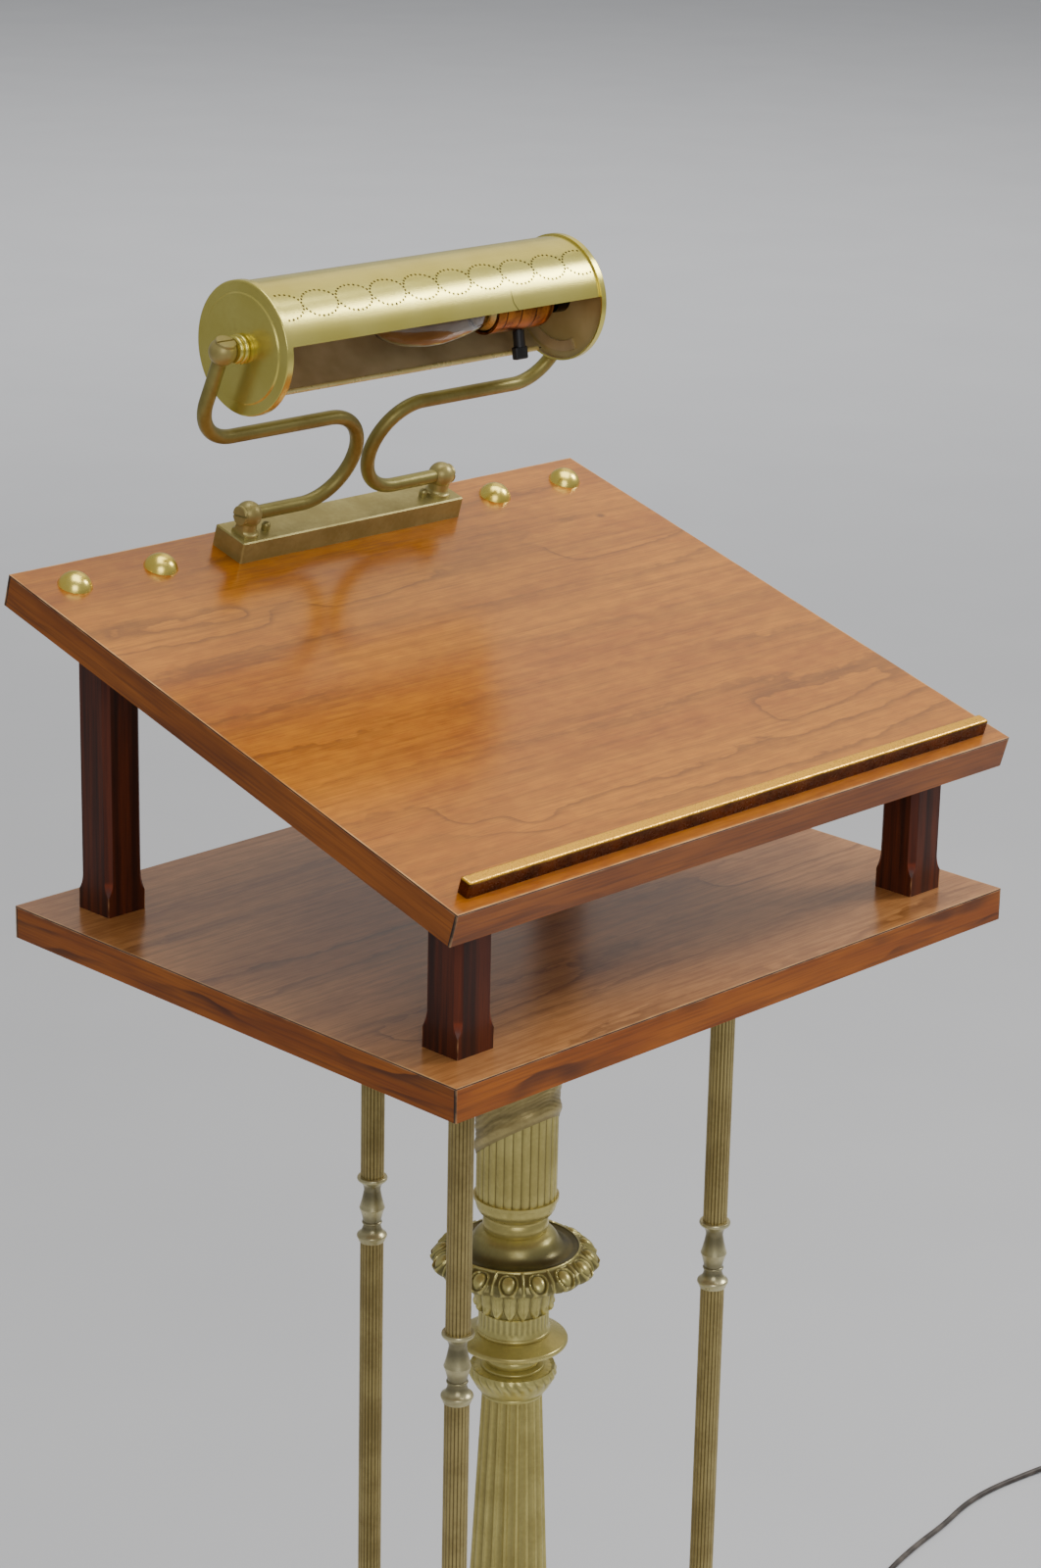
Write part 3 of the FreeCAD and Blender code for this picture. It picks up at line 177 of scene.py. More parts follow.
def plastic(name, light, dark, gloss):
    """Moulded plastic or rubber with a little dust and a fine grain."""
    finish = Finish(name)
    here = finish.local()
    dust = finish.fade(finish.noise(here, 60, 3.0), 0.35, 0.7)
    grain = finish.noise(here, 1400, 2.0)
    finish.relief(grain, 0.0001, 0.35)
    return finish.done(finish.mix(dust, dark, light), finish.fade(grain, 0.3, 0.7, gloss, gloss + 0.14))


def dress(finish, *names):
    """Give solids of the frame their finish."""
    for name in names:
        solids[name].data.materials.clear()
        solids[name].data.materials.append(finish)


lead_plastic = plastic("lead plastic", paint(92, 84, 76), paint(58, 51, 46), 0.42)
lead_thickness = 0.005
lead_exit = Vector((0.196398, 0.071483, 0.009))
lead_exit_angle = math.radians(20)
lead_way = Vector((math.cos(lead_exit_angle), math.sin(lead_exit_angle), 0))
straight_run = 0.03
landing_line, floor_line, coil_line = 0.0052, 0.0026, 0.00385
lead_corners = [(0.262, 0.097), (0.306, 0.118), (0.358, 0.140), (0.418, 0.158), (0.480, 0.171),
                (0.541, 0.188), (0.598, 0.214), (0.650, 0.248), (0.700, 0.283), (0.750, 0.311),
                (0.798, 0.330), (0.845, 0.3455), (0.893, 0.3548), (0.938, 0.3602), (0.982, 0.3704),
                (1.022, 0.3716), (1.060, 0.3672), (1.094, 0.3606), (1.122, 0.3535)]
lead_heights = [landing_line] + [floor_line] * (len(lead_corners) - 3) + [coil_line] * 2
lead_points = [lead_exit, lead_exit + lead_way * straight_run]
lead_points += [Vector((x, y, height)) for (x, y), height in zip(lead_corners, lead_heights)]

coil_step = 0.0056
coil_turns, climb_start, climb_turns = 4.5, 2, 0.5
coil_radius = 0.0275 + coil_step
heading = (lead_points[-1] - lead_points[-2]).normalized()
coil_start = lead_points[-1] + heading * lead_thickness
coil_lead_in = math.atan2(coil_step / (2 * math.pi), coil_radius)
coil_angle = math.atan2(heading.y, heading.x) + math.pi / 2 + coil_lead_in
coil_middle = coil_start - Vector((math.cos(coil_angle), math.sin(coil_angle), 0)) * coil_radius


def clamp(value, highest=1.0):
    """Value held between 0 and a highest one."""
    return min(highest, max(0.0, value))


def coil_point(turn):
    """Flat spiral inwards, up one layer while it turns back, and out again on top."""
    radius = coil_radius - coil_step * (coil_turns / 2 - abs(turn - coil_turns / 2))
    climb = clamp((turn - climb_start) / climb_turns)
    height = coil_step * climb * climb * (3 - 2 * climb)
    angle = coil_angle - 2 * math.pi * turn
    return coil_middle + Vector((radius * math.cos(angle), radius * math.sin(angle), height))


points_in_turn = 20
lead_points += [coil_point(step / points_in_turn) for step in range(int(coil_turns * points_in_turn) + 1)]
lead_points.append(lead_points[-1] + (lead_points[-1] - lead_points[-2]).normalized() * lead_thickness)


def round_wire(name, kind, places, thickness, finish):
    """New piece: a round wire with closed ends along a line of places."""
    curve = bpy.data.curves.new(name, "CURVE")
    curve.dimensions = "3D"
    curve.bevel_depth = thickness / 2
    curve.use_fill_caps = True
    curve.materials.append(finish)
    run = curve.splines.new(kind)
    run.points.add(len(places) - 1)
    for point, place in zip(run.points, places):
        point.co = (*place, 1)
    piece = bpy.data.objects.new(name, curve)
    bpy.context.scene.collection.objects.link(piece)
    return piece


supply_lead = round_wire("supply_lead", "NURBS", lead_points, lead_thickness, lead_plastic)
supply_lead.data.bevel_resolution = 5
supply_lead.data.resolution_u = 6
supply_lead.data.splines[0].order_u = 3
supply_lead.data.splines[0].use_endpoint_u = True
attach(supply_lead, "lectern")
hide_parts("cord_lead", "cord_coil")
dress(plastic("moulded black plastic", paint(46, 43, 41), paint(24, 22, 21), 0.34), "plug", "cord_bushing")
dress(plastic("coil band", paint(70, 68, 66), paint(40, 38, 37), 0.5), "coil_tie")
dress(lead_plastic, "lamp_wire")


# Base. A spun brass shell over an iron weight, with felt glued under it; turned brass feet for the
# pillar and the rods stand on its top.
def brass(name, bright, dull, dark, smooth=0.32, rough=0.42, hollow=None, hollow_share=0.8,
          metal=0.6, spots=0.15):
    """Lacquered brass with cloudy ageing, tarnish spots and, where given, dirt left in hollows, which in the
    pan's dish is partly painted shade.
    """
    finish = Finish(name, Metallic=metal)
    here = finish.local()
    cloud = finish.noise(here, 34, 3.0)
    speck = finish.noise(here, 380, 3.0)
    colour = finish.mix(finish.fade(finish.total(cloud, finish.times(speck, 0.3)), 0.45, 0.85), dull, bright)
    tarnish = finish.fade(finish.noise(here, 120, 4.0), 0.58, 0.8, 0.0, spots)
    colour = finish.mix(tarnish, colour, dark)
    if hollow:
        dirt_and_shade = finish.times(hollow(finish), finish.fade(cloud, 0.25, 0.7, hollow_share * 0.75, hollow_share))
        colour = finish.mix(dirt_and_shade, colour, dark)
    shine = finish.total(cloud, finish.times(speck, 0.5))
    return finish.done(colour, finish.fade(shine, 0.5, 1.0, rough, smooth))


aged_bright = paint(206, 192, 118)
aged_dull = paint(182, 167, 98)
aged_dark = paint(84, 72, 38)
base_brass = brass("base brass", aged_bright, aged_dull, aged_dark)
dress(base_brass, "base_shell", "column_foot", "rod_feet")

felt = Finish("base felt", Roughness=0.95)
fuzz = felt.noise(felt.local(), 900, 4.0)
felt.relief(fuzz, 0.0006, 0.8)
dress(felt.done(felt.mix(fuzz, paint(22, 34, 26), paint(52, 70, 56))), "base_felt")

iron = Finish("cast iron", Metallic=0.8)
skin = iron.noise(iron.local(), 260, 4.0)
iron.relief(skin, 0.0005, 0.6)
iron_colour = iron.mix(skin, paint(50, 48, 47), paint(88, 85, 82))
dress(iron.done(iron_colour, iron.fade(skin, 0.3, 0.7, 0.5, 0.7)), "base_weight")


# Pillar. Cast and turned brass pieces are stacked on a threaded pipe: the tapering fluted shaft, a
# cup, a saucer, a bell with hanging leaves, a pan with an egg-and-dart skirt, and a reeded drum with
# a cast drape round it.
def grooves(axis, crest, bottom, crest_slope=0.0):
    """Depth in the grooves of a reeded or fluted piece about an upright axis, from 0 on the crests."""
    def depth(finish):
        x, y, z = finish.axes(finish.local((*axis, 0)))
        radius = finish.maths("SQRT", finish.total(finish.times(x, x), finish.times(y, y)))
        outer = finish.total(radius, finish.times(z, -crest_slope))
        return finish.fade(outer, crest, bottom)
    return depth


def carved(finish):
    """Depth in carved hollows, with painted shade in the pan's dish, stored with the mesh."""
    node = finish.tree.nodes.new("ShaderNodeAttribute")
    node.attribute_name = "hollow"
    return node.outputs["Fac"]


pillar_axis = (0, 0)
shaft_low, shaft_high = 0.066, 0.616
shaft_low_radius, shaft_high_radius = 0.043, 0.01875
shaft_slope = (shaft_high_radius - shaft_low_radius) / (shaft_high - shaft_low)
shaft_crest = shaft_low_radius - shaft_slope * shaft_low
shaft_flutes = grooves(pillar_axis, shaft_crest - 0.0004, shaft_crest - 0.0019, shaft_slope)
dress(brass("shaft brass", aged_bright, aged_dull, aged_dark, 0.36, 0.48, shaft_flutes, 0.4), "column_shaft")
drum_crest, drum_groove = 0.0244, 0.0238
drum_reeds = grooves(pillar_axis, drum_crest, drum_groove)
dress(brass("drum brass", aged_bright, aged_dull, aged_dark, 0.34, 0.46, drum_reeds, 0.75), "upper_drum")
turned_brass = brass("turned brass", aged_bright, aged_dull, aged_dark, 0.26, 0.36)
dress(turned_brass, "drum_collar", "saucer_ring", "top_plate")
carved_brass = brass("carved brass", paint(210, 198, 124), paint(184, 171, 102), paint(66, 58, 34),
                     0.28, 0.4, carved, 0.74)

steel = Finish("screw steel", Metallic=1.0)
brushed = steel.noise(steel.local(), 700, 3.0)
steel_colour = steel.mix(brushed, paint(120, 118, 112), paint(176, 174, 168))
dress(steel.done(steel_colour, steel.fade(brushed, 0.3, 0.7, 0.26, 0.44)),
      "tie_pipe", "tie_nuts", "top_plate_screws", "rod_studs")


def hump(value):
    """Smooth bump, 1 in the middle and 0 from -1 and 1 outwards."""
    return max(0.0, 1 - value * value) ** 2


def cell(angle, count, start=0.0):
    """Place across one of the repeats round a piece, from -0.5 to 0.5."""
    return ((angle - start) * count / (2 * math.pi) + 0.5) % 1 - 0.5


def bent(*steps, pieces=8):
    """Outline through points; a step with four numbers is a bow through a middle to an end."""
    outline = [steps[0]]
    for step in steps[1:]:
        start = outline[-1]
        if len(step) == 2:
            step = ((start[0] + step[0]) / 2, (start[1] + step[1]) / 2, *step)
        pull = (2 * step[0] - (start[0] + step[2]) / 2, 2 * step[1] - (start[1] + step[3]) / 2)
        for index in range(1, pieces + 1):
            t = index / pieces
            outline.append(tuple((1 - t) ** 2 * a + 2 * t * (1 - t) * b + t * t * c
                                 for a, b, c in zip(start, pull, step[2:])))
    return outline


def mesh_piece(name, points, faces, finish, smooth=35):
    """New piece from points in metres, shaded smooth except at its sharp edges."""
    mesh = bpy.data.meshes.new(name)
    mesh.from_pydata(points, [], faces)
    mesh.shade_smooth()
    mesh.set_sharp_from_angle(angle=math.radians(smooth))
    mesh.materials.append(finish)
    piece = bpy.data.objects.new(name, mesh)
    bpy.context.scene.collection.objects.link(piece)
    return piece


def ring_faces(rings, around):
    """Faces of a closed ring: its cross-section has as many points as there are rings of points."""
    faces = []
    for ring in range(rings):
        for step in range(around):
            here, there, after = ring * around, (ring + 1) % rings * around, (step + 1) % around
            faces.append((here + step, here + after, there + after, there + step))
    return faces


def pillar_piece(piece, hollows, *replaced):
    """Keep the depth of each point with the mesh, and fix the piece to the lectern."""
    stored = piece.data.attributes.new("hollow", "FLOAT", "POINT")
    stored.data.foreach_set("value", hollows)
    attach(piece, "lectern")
    if replaced:
        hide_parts(*replaced)


def carved_ring(name, replaced, low, outline, around, carve):
    """Turned brass, outline in millimetres from its underside, with a carving that moves its surface."""
    points, hollows = [], []
    for radius, height in outline:
        for step in range(around):
            angle = 2 * math.pi * step / around
            outward, rise, hollow = carve(angle, radius, height)
            reach = (radius + outward) / 1000
            points.append((reach * math.cos(angle), reach * math.sin(angle), low + (height + rise) / 1000))
            hollows.append(hollow)
    faces = [(a, d, c, b) for a, b, c, d in ring_faces(len(outline), around)]
    pillar_piece(mesh_piece(name, points, faces, carved_brass), hollows, replaced)


pipe_bore = 6.1
cup_marks = 26


def cup_leaves(angle, radius, height):
    """Slanting leaf marks round the cup's bulge."""
    if radius < 22 or not 8 < height < 20:
        return 0, 0, 0.15 if 17 < height < 21 else 0.0
    leaf = abs(math.sin(angle * cup_marks / 2 + height * 0.28))
    band = hump((height - 14) / 6)
    return (leaf - 0.55) * 1.3 * band, 0, band * max(0.0, 0.6 - leaf) * 1.4


cup_outline = bent((pipe_bore, 27), (16, 27), (17.4, 23.8, 16, 20.8), (19.2, 20.2), (19.8, 19.2, 19.2, 18.2),
                   (23.9, 17.4), (26.1, 18.8), (27.1, 15, 25.9, 11.4), (22.75, 5.2, 19.35, 2.4),
                   (19.85, 1.2, 19.35, 0), (pipe_bore, 0))
carved_ring("carved_cup", "shaft_cup", 0.616, cup_outline, 416, cup_leaves)

bell_leaves = 18
bell_start = math.radians(-121.3)
leaf_tips, leaf_length = 13.4, 26


def hanging_leaves(angle, radius, height):
    """Curled leaves that hang over a short fluted neck."""
    if radius < 20:
        return 0, 0, 0
    if height < leaf_tips:
        ends = min(clamp((height - 2.2) / 2), clamp((leaf_tips - height) / 1.5))
        flute = hump(cell(angle, 2 * bell_leaves, bell_start) / 0.5) * ends
        return -0.55 * flute, 0, 0.6 * flute
    along = min((height - leaf_tips) / leaf_length, 1)
    place = cell(angle, bell_leaves, bell_start)
    width = 0.5 * min(1, (along / 0.2) ** 0.6) * (1 - 0.16 * abs(math.sin(along * 3.5 * math.pi)))
    across = min(abs(place) / max(width, 0.02), 1)
    blade = (1 - across * across) ** 0.5
    curl = hump((along - 0.1) / 0.16) * (1 - across * across)
    rib = hump(place / 0.05) * (1 - along) * 0.5
    veins = 0.25 * math.sin((along * 9 - abs(place) * 5) * 2 * math.pi) * blade * along
    lift = 1.5 * blade * (1.05 - 0.5 * along) + 1.7 * curl - rib + veins - 0.8
    return lift, 0, clamp(0.35 - lift * 0.55)


bell_outline = bent((pipe_bore, 41), (22.5, 41), (23.8, 37), pieces=4)
bell_outline += bent((23.8, 37), (25.2, 27.06, 22.6, 14.8), pieces=26)[1:]
bell_outline += bent((22.6, 14.8), (21.8, 12.8), (21.8, 2.4), pieces=6)[1:]
bell_outline += bent((21.8, 2.4), (22.5, 0), (pipe_bore, 0), pieces=2)[1:]
carved_ring("leafy_bell", "capital_bell", 0.661, bell_outline, 540, hanging_leaves)

eggs = 16
egg_start = math.radians(-117.5)
skirt_top, skirt_edge = 40.0, 52.0


def egg_and_dart(angle, radius, height):
    """Framed eggs with darts between them on the skirt, and tarnish with painted shade in the dish, darker
    towards its rim.
    """
    along = (radius - skirt_top) / (skirt_edge - skirt_top)
    if along <= 0.0 or height < 1.8 or (height < 6.2 and radius < 49.5):
        # Painted shade with tarnish: the dish darkens from its middle out to its rim.
        in_dish = radius < 39 and 12 < height < 24
        return 0, 0, clamp((radius - 21) / 7, 1.25) if in_dish else 0.0
    place = cell(angle, eggs, egg_start)
    egg = math.hypot(place / 0.22, (along - 0.58) / 0.36)
    dome = 2.2 * max(0.0, 1 - egg * egg) ** 0.5
    frame_ridge = 1.7 * hump((egg - 1.36) / 0.24) * clamp((along - 0.02) / 0.25)
    dart = 1.4 * hump((0.5 - abs(place)) / 0.07)
    lift = dome + frame_ridge + dart - 0.9
    scallop = 2.4 * (1 - hump(place / 0.62)) * clamp((along - 0.7) / 0.3)
    ends = min(1, along / 0.08)
    return lift * 0.62 * ends - scallop, lift * 0.72 * ends, clamp(0.4 - lift * 0.8) * ends


pan_outline = bent((pipe_bore, 25.0), (19.1, 25.0), pieces=2)
pan_outline += bent((19.1, 25.0), (23.4, 23.0, 26.4, 19.4), (30.1, 14.4, 35.4, 12.5), (38.7, 13.1),
                    pieces=8)[1:]
pan_outline += bent((38.7, 13.1), (39.3, 13.9, 40.0, 13.3), pieces=4)[1:]
pan_outline += bent((40.0, 13.3), (46.75, 9.7, 52.0, 4.3), pieces=26)[1:]
pan_outline += bent((52.0, 4.3), (51.6, 2.3, 49.8, 1.9), pieces=5)[1:]
pan_outline += bent((49.8, 1.9), (45, 5.9), (37.5, 8.7), (25.5, 7.5), (23.5, 0), (pipe_bore, 0),
                    pieces=2)[1:]
carved_ring("egg_pan", "drip_pan", 0.702, pan_outline, 640, egg_and_dart)

drape_middle, drape_rise, drape_high = 788.5, 18.0, math.radians(-90.0)
drape_top = 915.2
drape_rows, drape_around = 200, 240
drape_inside, drape_outside = 24.0, 25.2


def wave(phase):
    """Wave between 0 and 1."""
    return 0.5 + 0.5 * math.sin(phase)


def drape_swell(angle, up):
    """How far the cast cloth stands out: a roll along its edge, broad folds, pleats and fine creases."""
    sway = 1.5 * math.sin(3 * angle + 0.6) + 0.8 * math.sin(7 * angle)
    roll = hump((up - 5.5) / 5.5)
    fold = wave((up + sway) * 2 * math.pi / 15 - 0.6)
    pleat = wave((up + 1.2 * sway) * 2 * math.pi / 5.3 + 1.7 * math.sin(2 * angle + 0.4))
    crease = wave((up - 0.9 * sway) * 2 * math.pi / 2.7 + 2.3 * math.sin(angle + up / 11))
    share_of_pleat = wave(2 * angle + up / 8)
    fine = 0.45 * pleat * share_of_pleat + 0.25 * crease * (1 - 0.6 * share_of_pleat)
    return 0.9 * roll + (0.55 * fold + fine) * clamp((up - 1) / 6)


drape_outline = [(drape_inside, 0.0)]
drape_outline += [(drape_outside, row / drape_rows) for row in range(drape_rows + 1)]
drape_outline += [(drape_inside, 1.0)]
drape_points, drape_hollows = [], []
for drape_radius, share in drape_outline:
    for step in range(drape_around):
        angle = 2 * math.pi * step / drape_around
        low = drape_middle + drape_rise * math.cos(angle - drape_high)
        up = (drape_top - low) * share
        swell = drape_swell(angle, up) if drape_radius == drape_outside else 0.0
        reach = (drape_radius + swell) / 1000
        drape_points.append((reach * math.cos(angle), reach * math.sin(angle), (low + up) / 1000))
        drape_hollows.append(clamp(0.8 - swell) if up > 2 else 0.5)
drape_faces = ring_faces(len(drape_outline), drape_around)
drape_brass = brass("drape brass", paint(190, 172, 114), paint(162, 144, 92), paint(60, 48, 28),
                    0.36, 0.48, carved, 0.7)
pillar_piece(mesh_piece("drum_drape", drape_points, drape_faces, drape_brass), drape_hollows)

# Rods. Three reeded brass tubes stand round the pillar; each is in two lengths joined by a turned
# knuckle, and its top is screwed to the underside of the shelf.
rod_ring = 0.1284
rod_angles = {"front_left": 210, "front_right": 330, "rear": 90}
reed_crest, reed_groove = 0.00745, 0.00697
knuckle_bulge, knuckle_neck = 0.0076, 0.0057
for rod, degrees in rod_angles.items():
    axis = (rod_ring * math.cos(math.radians(degrees)), rod_ring * math.sin(math.radians(degrees)))
    dress(brass("rod brass " + rod, paint(178, 160, 102), paint(150, 132, 80), paint(78, 62, 34),
                0.36, 0.48, grooves(axis, reed_crest, reed_groove), 0.7),
          "lower_rod_" + rod, "upper_rod_" + rod)
    dress(brass("knuckle brass " + rod, paint(202, 193, 150), paint(176, 165, 122), paint(48, 40, 26),
                0.27, 0.35, grooves(axis, knuckle_bulge, knuckle_neck), 0.65, metal=0.7),
          "rod_knuckle_" + rod)


# Shelf. A particle core with a cherry-faced sheet on top and cherry strips glued round its edges,
# under a clear gloss lacquer.
def cherry(name, place, turn, size, light, middle, dark, swirls, seed, knots=()):
    """Lacquered cherry sheet: wandering growth lines, fibres, pores, the sheet's dark cut edge,
    and a pale rubbed border along its edges that is partly painted highlight.

    A swirl is a tongue in the growth lines: where its tip is along and across the sheet, which way it
    opens, its length, width, widening and slope, and its height in growth lines. A knot is where it
    lies along and across the sheet, and its radius.
    """
    finish = Finish(name, Roughness=0.5, Specular_IOR_Level=0.1, Coat_Weight=1.0, Coat_Roughness=0.2)
    here = finish.local(place, turn)
    along, across, up = finish.axes(here)
    shifted = finish.vector(along, across, seed)
    wander = finish.noise(shifted, 1.0, 2.0, (1.8, 6.0, 1))
    ripple = finish.noise(shifted, 1.0, 4.0, (24, 90, 1))
    jag = finish.noise(shifted, 1.0, 3.0, (75, 130, 1))
    field = finish.total(finish.times(across, 24), finish.times(wander, 2.6),
                         finish.times(ripple, 0.5), finish.times(jag, 0.3))
    figured = 0.0
    for x, y, way, length, width, widen, slope, height in swirls:
        ahead = finish.times(finish.total(along, -x), way)
        past = finish.maths("MAXIMUM", ahead, 0)
        before = finish.maths("MINIMUM", ahead, 0)
        fall = finish.total(finish.times(past, 1 / length), finish.times(before, 60))
        apart = finish.maths("DIVIDE", finish.total(across, -y, finish.times(past, -slope)),
                             finish.total(width, finish.times(past, widen)))
        spread = finish.total(finish.times(fall, fall), finish.times(apart, apart))
        tongue = finish.maths("EXPONENT", finish.times(spread, -1))
        field = finish.total(field, finish.times(tongue, height))
        figured = finish.maths("MAXIMUM", finish.fade(tongue, 0.02, 0.3), figured)
    ring = finish.maths("FRACT", field)
    late = finish.maths("POWER", finish.fade(ring, 0.5, 0.95), 3)
    late = finish.times(late, finish.fade(ring, 1.0, 0.94))
    strong = finish.fade(finish.noise(shifted, 1.0, 2.0, (4.5, 14, 1)), 0.36, 0.64, 0.08, 0.5)
    strong = finish.maths("MAXIMUM", strong, finish.times(figured, 0.55))
    fibre = finish.noise(shifted, 1.0, 4.0, (8, 330, 1))
    thread = finish.noise(shifted, 1.0, 3.0, (36, 1300, 1))
    pores = finish.fade(finish.noise(shifted, 1.0, 2.0, (110, 1900, 1)), 0.58, 0.74)
    tone = finish.fade(finish.noise(shifted, 1.0, 3.0, (4, 22, 1)), 0.3, 0.7)
    curl = finish.fade(finish.noise(shifted, 1.0, 3.0, (70, 160, 1)), 0.32, 0.68)
    colour = finish.mix(finish.total(finish.times(tone, 0.65), finish.times(curl, 0.35)), middle, light)
    colour = finish.mix(finish.fade(fibre, 0.4, 0.72, 0.0, 0.3), colour, dark)
    colour = finish.mix(finish.fade(thread, 0.42, 0.72, 0.0, 0.3), colour, dark)
    colour = finish.mix(finish.times(late, strong), colour, dark)
    colour = finish.mix(finish.times(pores, 0.25), colour, dark)
    for x, y, radius in knots:
        aside, apart = finish.total(along, -x), finish.times(finish.total(across, -y), 1.5)
        gone = finish.maths("SQRT", finish.total(finish.times(aside, aside), finish.times(apart, apart)))
        colour = finish.mix(finish.fade(gone, radius, radius * 0.2, 0.0, 0.75), colour, dark)
    width, depth = size
    edge_x = finish.maths("SUBTRACT", width / 2, finish.maths("ABSOLUTE", along))
    edge_y = finish.maths("SUBTRACT", depth / 2, finish.maths("ABSOLUTE", finish.total(across, -depth / 2)))
    edge = finish.maths("MINIMUM", edge_x, edge_y)
    rub = finish.noise(here, 45, 3.0)
    # Pale border along the sheet's edges: rubbed wear, and partly a painted highlight where the edge would
    # catch light.
    wear_and_highlight = finish.times(finish.fade(edge, 0.0011, 0.0003), finish.fade(rub, 0.35, 0.62, 0.2, 0.75))
    colour = finish.mix(wear_and_highlight, colour, paint(222, 170, 106))
    cut = finish.fade(up, -0.00012, -0.00035)
    colour = finish.mix(cut, colour, paint(54, 28, 16))
    finish.relief(finish.total(finish.times(fibre, 0.4), finish.times(pores, -1)), 0.00004, 0.2)
    return finish.done(colour)


def edge_strip(name, place, turn, size, light, middle, dark, seed, bold):
    """Cherry strip on a panel's edge: grain along the strip, dark glue lines at the corners, and a pale top
    arris that is rubbed wear and partly painted highlight.
    """
    finish = Finish(name, Roughness=0.5, Specular_IOR_Level=0.2, Coat_Weight=0.3, Coat_Roughness=0.2)
    here = finish.local(place, turn)
    along, across, up = finish.axes(here)
    width, depth = size
    strip = 0.0015
    edge_x = finish.maths("SUBTRACT", width / 2, finish.maths("ABSOLUTE", along))
    edge_y = finish.maths("SUBTRACT", depth / 2, finish.maths("ABSOLUTE", finish.total(across, -depth / 2)))
    on_side = finish.maths("LESS_THAN", edge_x, 0.0004)
    on_front = finish.maths("SUBTRACT", 1, on_side)
    run = finish.total(finish.times(on_side, across), finish.times(on_front, along))
    grain = finish.vector(run, up, finish.total(finish.times(on_side, 3.7), seed))
    wander = finish.noise(grain, 1.0, 3.0, (7, 30, 1))
    ring = finish.maths("FRACT", finish.total(finish.times(up, 50), finish.times(wander, 3.4)))
    strong = finish.fade(finish.noise(grain, 1.0, 2.0, (13, 30, 1)), 0.4, 0.65, 0.1, bold)
    late = finish.times(finish.fade(ring, 0.45, 0.92), finish.fade(ring, 1.0, 0.92), strong)
    fibre = finish.noise(grain, 1.0, 4.0, (16, 700, 1))
    tone = finish.fade(finish.noise(grain, 1.0, 3.0, (11, 60, 1)), 0.32, 0.68)
    colour = finish.mix(tone, middle, light)
    colour = finish.mix(finish.fade(fibre, 0.38, 0.75, 0.0, 0.45), colour, dark)
    colour = finish.mix(late, colour, dark)
    corner = finish.times(finish.fade(edge_x, 0.0006, 0.0003), finish.fade(edge_y, strip + 0.0003, strip))
    colour = finish.mix(corner, colour, paint(24, 12, 8))
    rub = finish.noise(here, 60, 3.0)
    # Pale top arris: rubbed wear, and partly a painted highlight where the edge would catch light.
    arris = finish.maths("MAXIMUM", finish.fade(finish.maths("ADD", edge_x, edge_y), 0.0013, 0.0004),
                         finish.fade(up, -0.0016, -0.0010))
    wear_and_highlight = finish.times(arris, finish.fade(rub, 0.42, 0.66, 0.1, 0.7))
    colour = finish.mix(wear_and_highlight, colour, paint(206, 158, 106))
    finish.relief(fibre, 0.00008, 0.3)
    return finish.done(colour)


cherry_dark = paint(88, 42, 8)
strip_dark = paint(66, 28, 6)
panel_width = 0.457
shelf_size = (panel_width, 0.370)
shelf_height = 0.940
shelf_place = (0, -0.179, shelf_height)
shelf_turn = (0, 0, 0)
shelf_swirls = [(-0.19, 0.07, 1, 0.2, 0.014, 0.05, 0.0, 1.3),
                (0.02, 0.20, -1, 0.2, 0.014, 0.06, 0.05, 1.3),
                (0.12, 0.12, 1, 0.2, 0.013, 0.05, 0.0, 1.3)]
dress(cherry("shelf cherry", shelf_place, shelf_turn, shelf_size, paint(204, 142, 82), paint(170, 110, 58),
             cherry_dark, shelf_swirls, 2.3), "shelf_top_sheet")
dress(edge_strip("shelf strip cherry", shelf_place, shelf_turn, shelf_size, paint(166, 90, 12),
                 paint(138, 68, 7), strip_dark, 5.1, 0.8), "shelf_edge_strips")

core = Finish("particle core", Roughness=0.8)
chips = core.noise(core.local(), 420, 4.0)
core.relief(chips, 0.0003, 0.5)
core_wood = core.done(core.mix(core.fade(chips, 0.3, 0.7), paint(120, 88, 58), paint(176, 140, 100)))
dress(core_wood, "shelf_core")


# Posts. Four square mahogany posts, dark stained, with stopped chamfers on every corner; dowels hold
# them in the shelf and in the board.
def stained_post(name, middle_x, middle_y, seed):
    """Dark stained mahogany with a painted highlight on the chamfers and a rubbed edge round the foot."""
    finish = Finish(name, Roughness=0.5, Specular_IOR_Level=0.3, Coat_Weight=0.1, Coat_Roughness=0.16)
    here = finish.local((middle_x, middle_y, shelf_height))
    x, y, z = finish.axes(here)
    lengthwise = finish.vector(x, y, finish.total(finish.times(z, 0.03), seed))
    stripe = finish.noise(lengthwise, 240, 3.0)
    fibre = finish.noise(lengthwise, 1100, 3.0)
    colour = finish.mix(finish.fade(stripe, 0.3, 0.7), paint(50, 20, 8), paint(94, 40, 16))
    colour = finish.mix(finish.fade(fibre, 0.45, 0.75, 0.0, 0.5), colour, paint(26, 9, 5))
    aside, apart = finish.maths("ABSOLUTE", x), finish.maths("ABSOLUTE", y)
    side = finish.maths("ABSOLUTE", finish.maths("SUBTRACT", aside, apart))
    outward = finish.total(aside, apart)
    foot_arris = finish.times(finish.fade(outward, 0.0262, 0.0269), finish.fade(z, 0.018, 0.004))
    chamfer_highlight = finish.times(finish.fade(outward, 0.0233, 0.0236), finish.fade(side, 0.0038, 0.0030),
                         finish.fade(z, 0.012, 0.02))
    # Painted highlight: the chamfers are painted redder where they would catch the light.
    colour = finish.mix(finish.times(chamfer_highlight, 0.55), colour, paint(150, 58, 18))
    rub = finish.fade(finish.noise(here, 90, 3.0), 0.4, 0.65, 0.1, 0.9)
    colour = finish.mix(finish.times(foot_arris, rub), colour, paint(190, 140, 96))
    finish.relief(fibre, 0.00008, 0.4)
    return finish.done(colour)


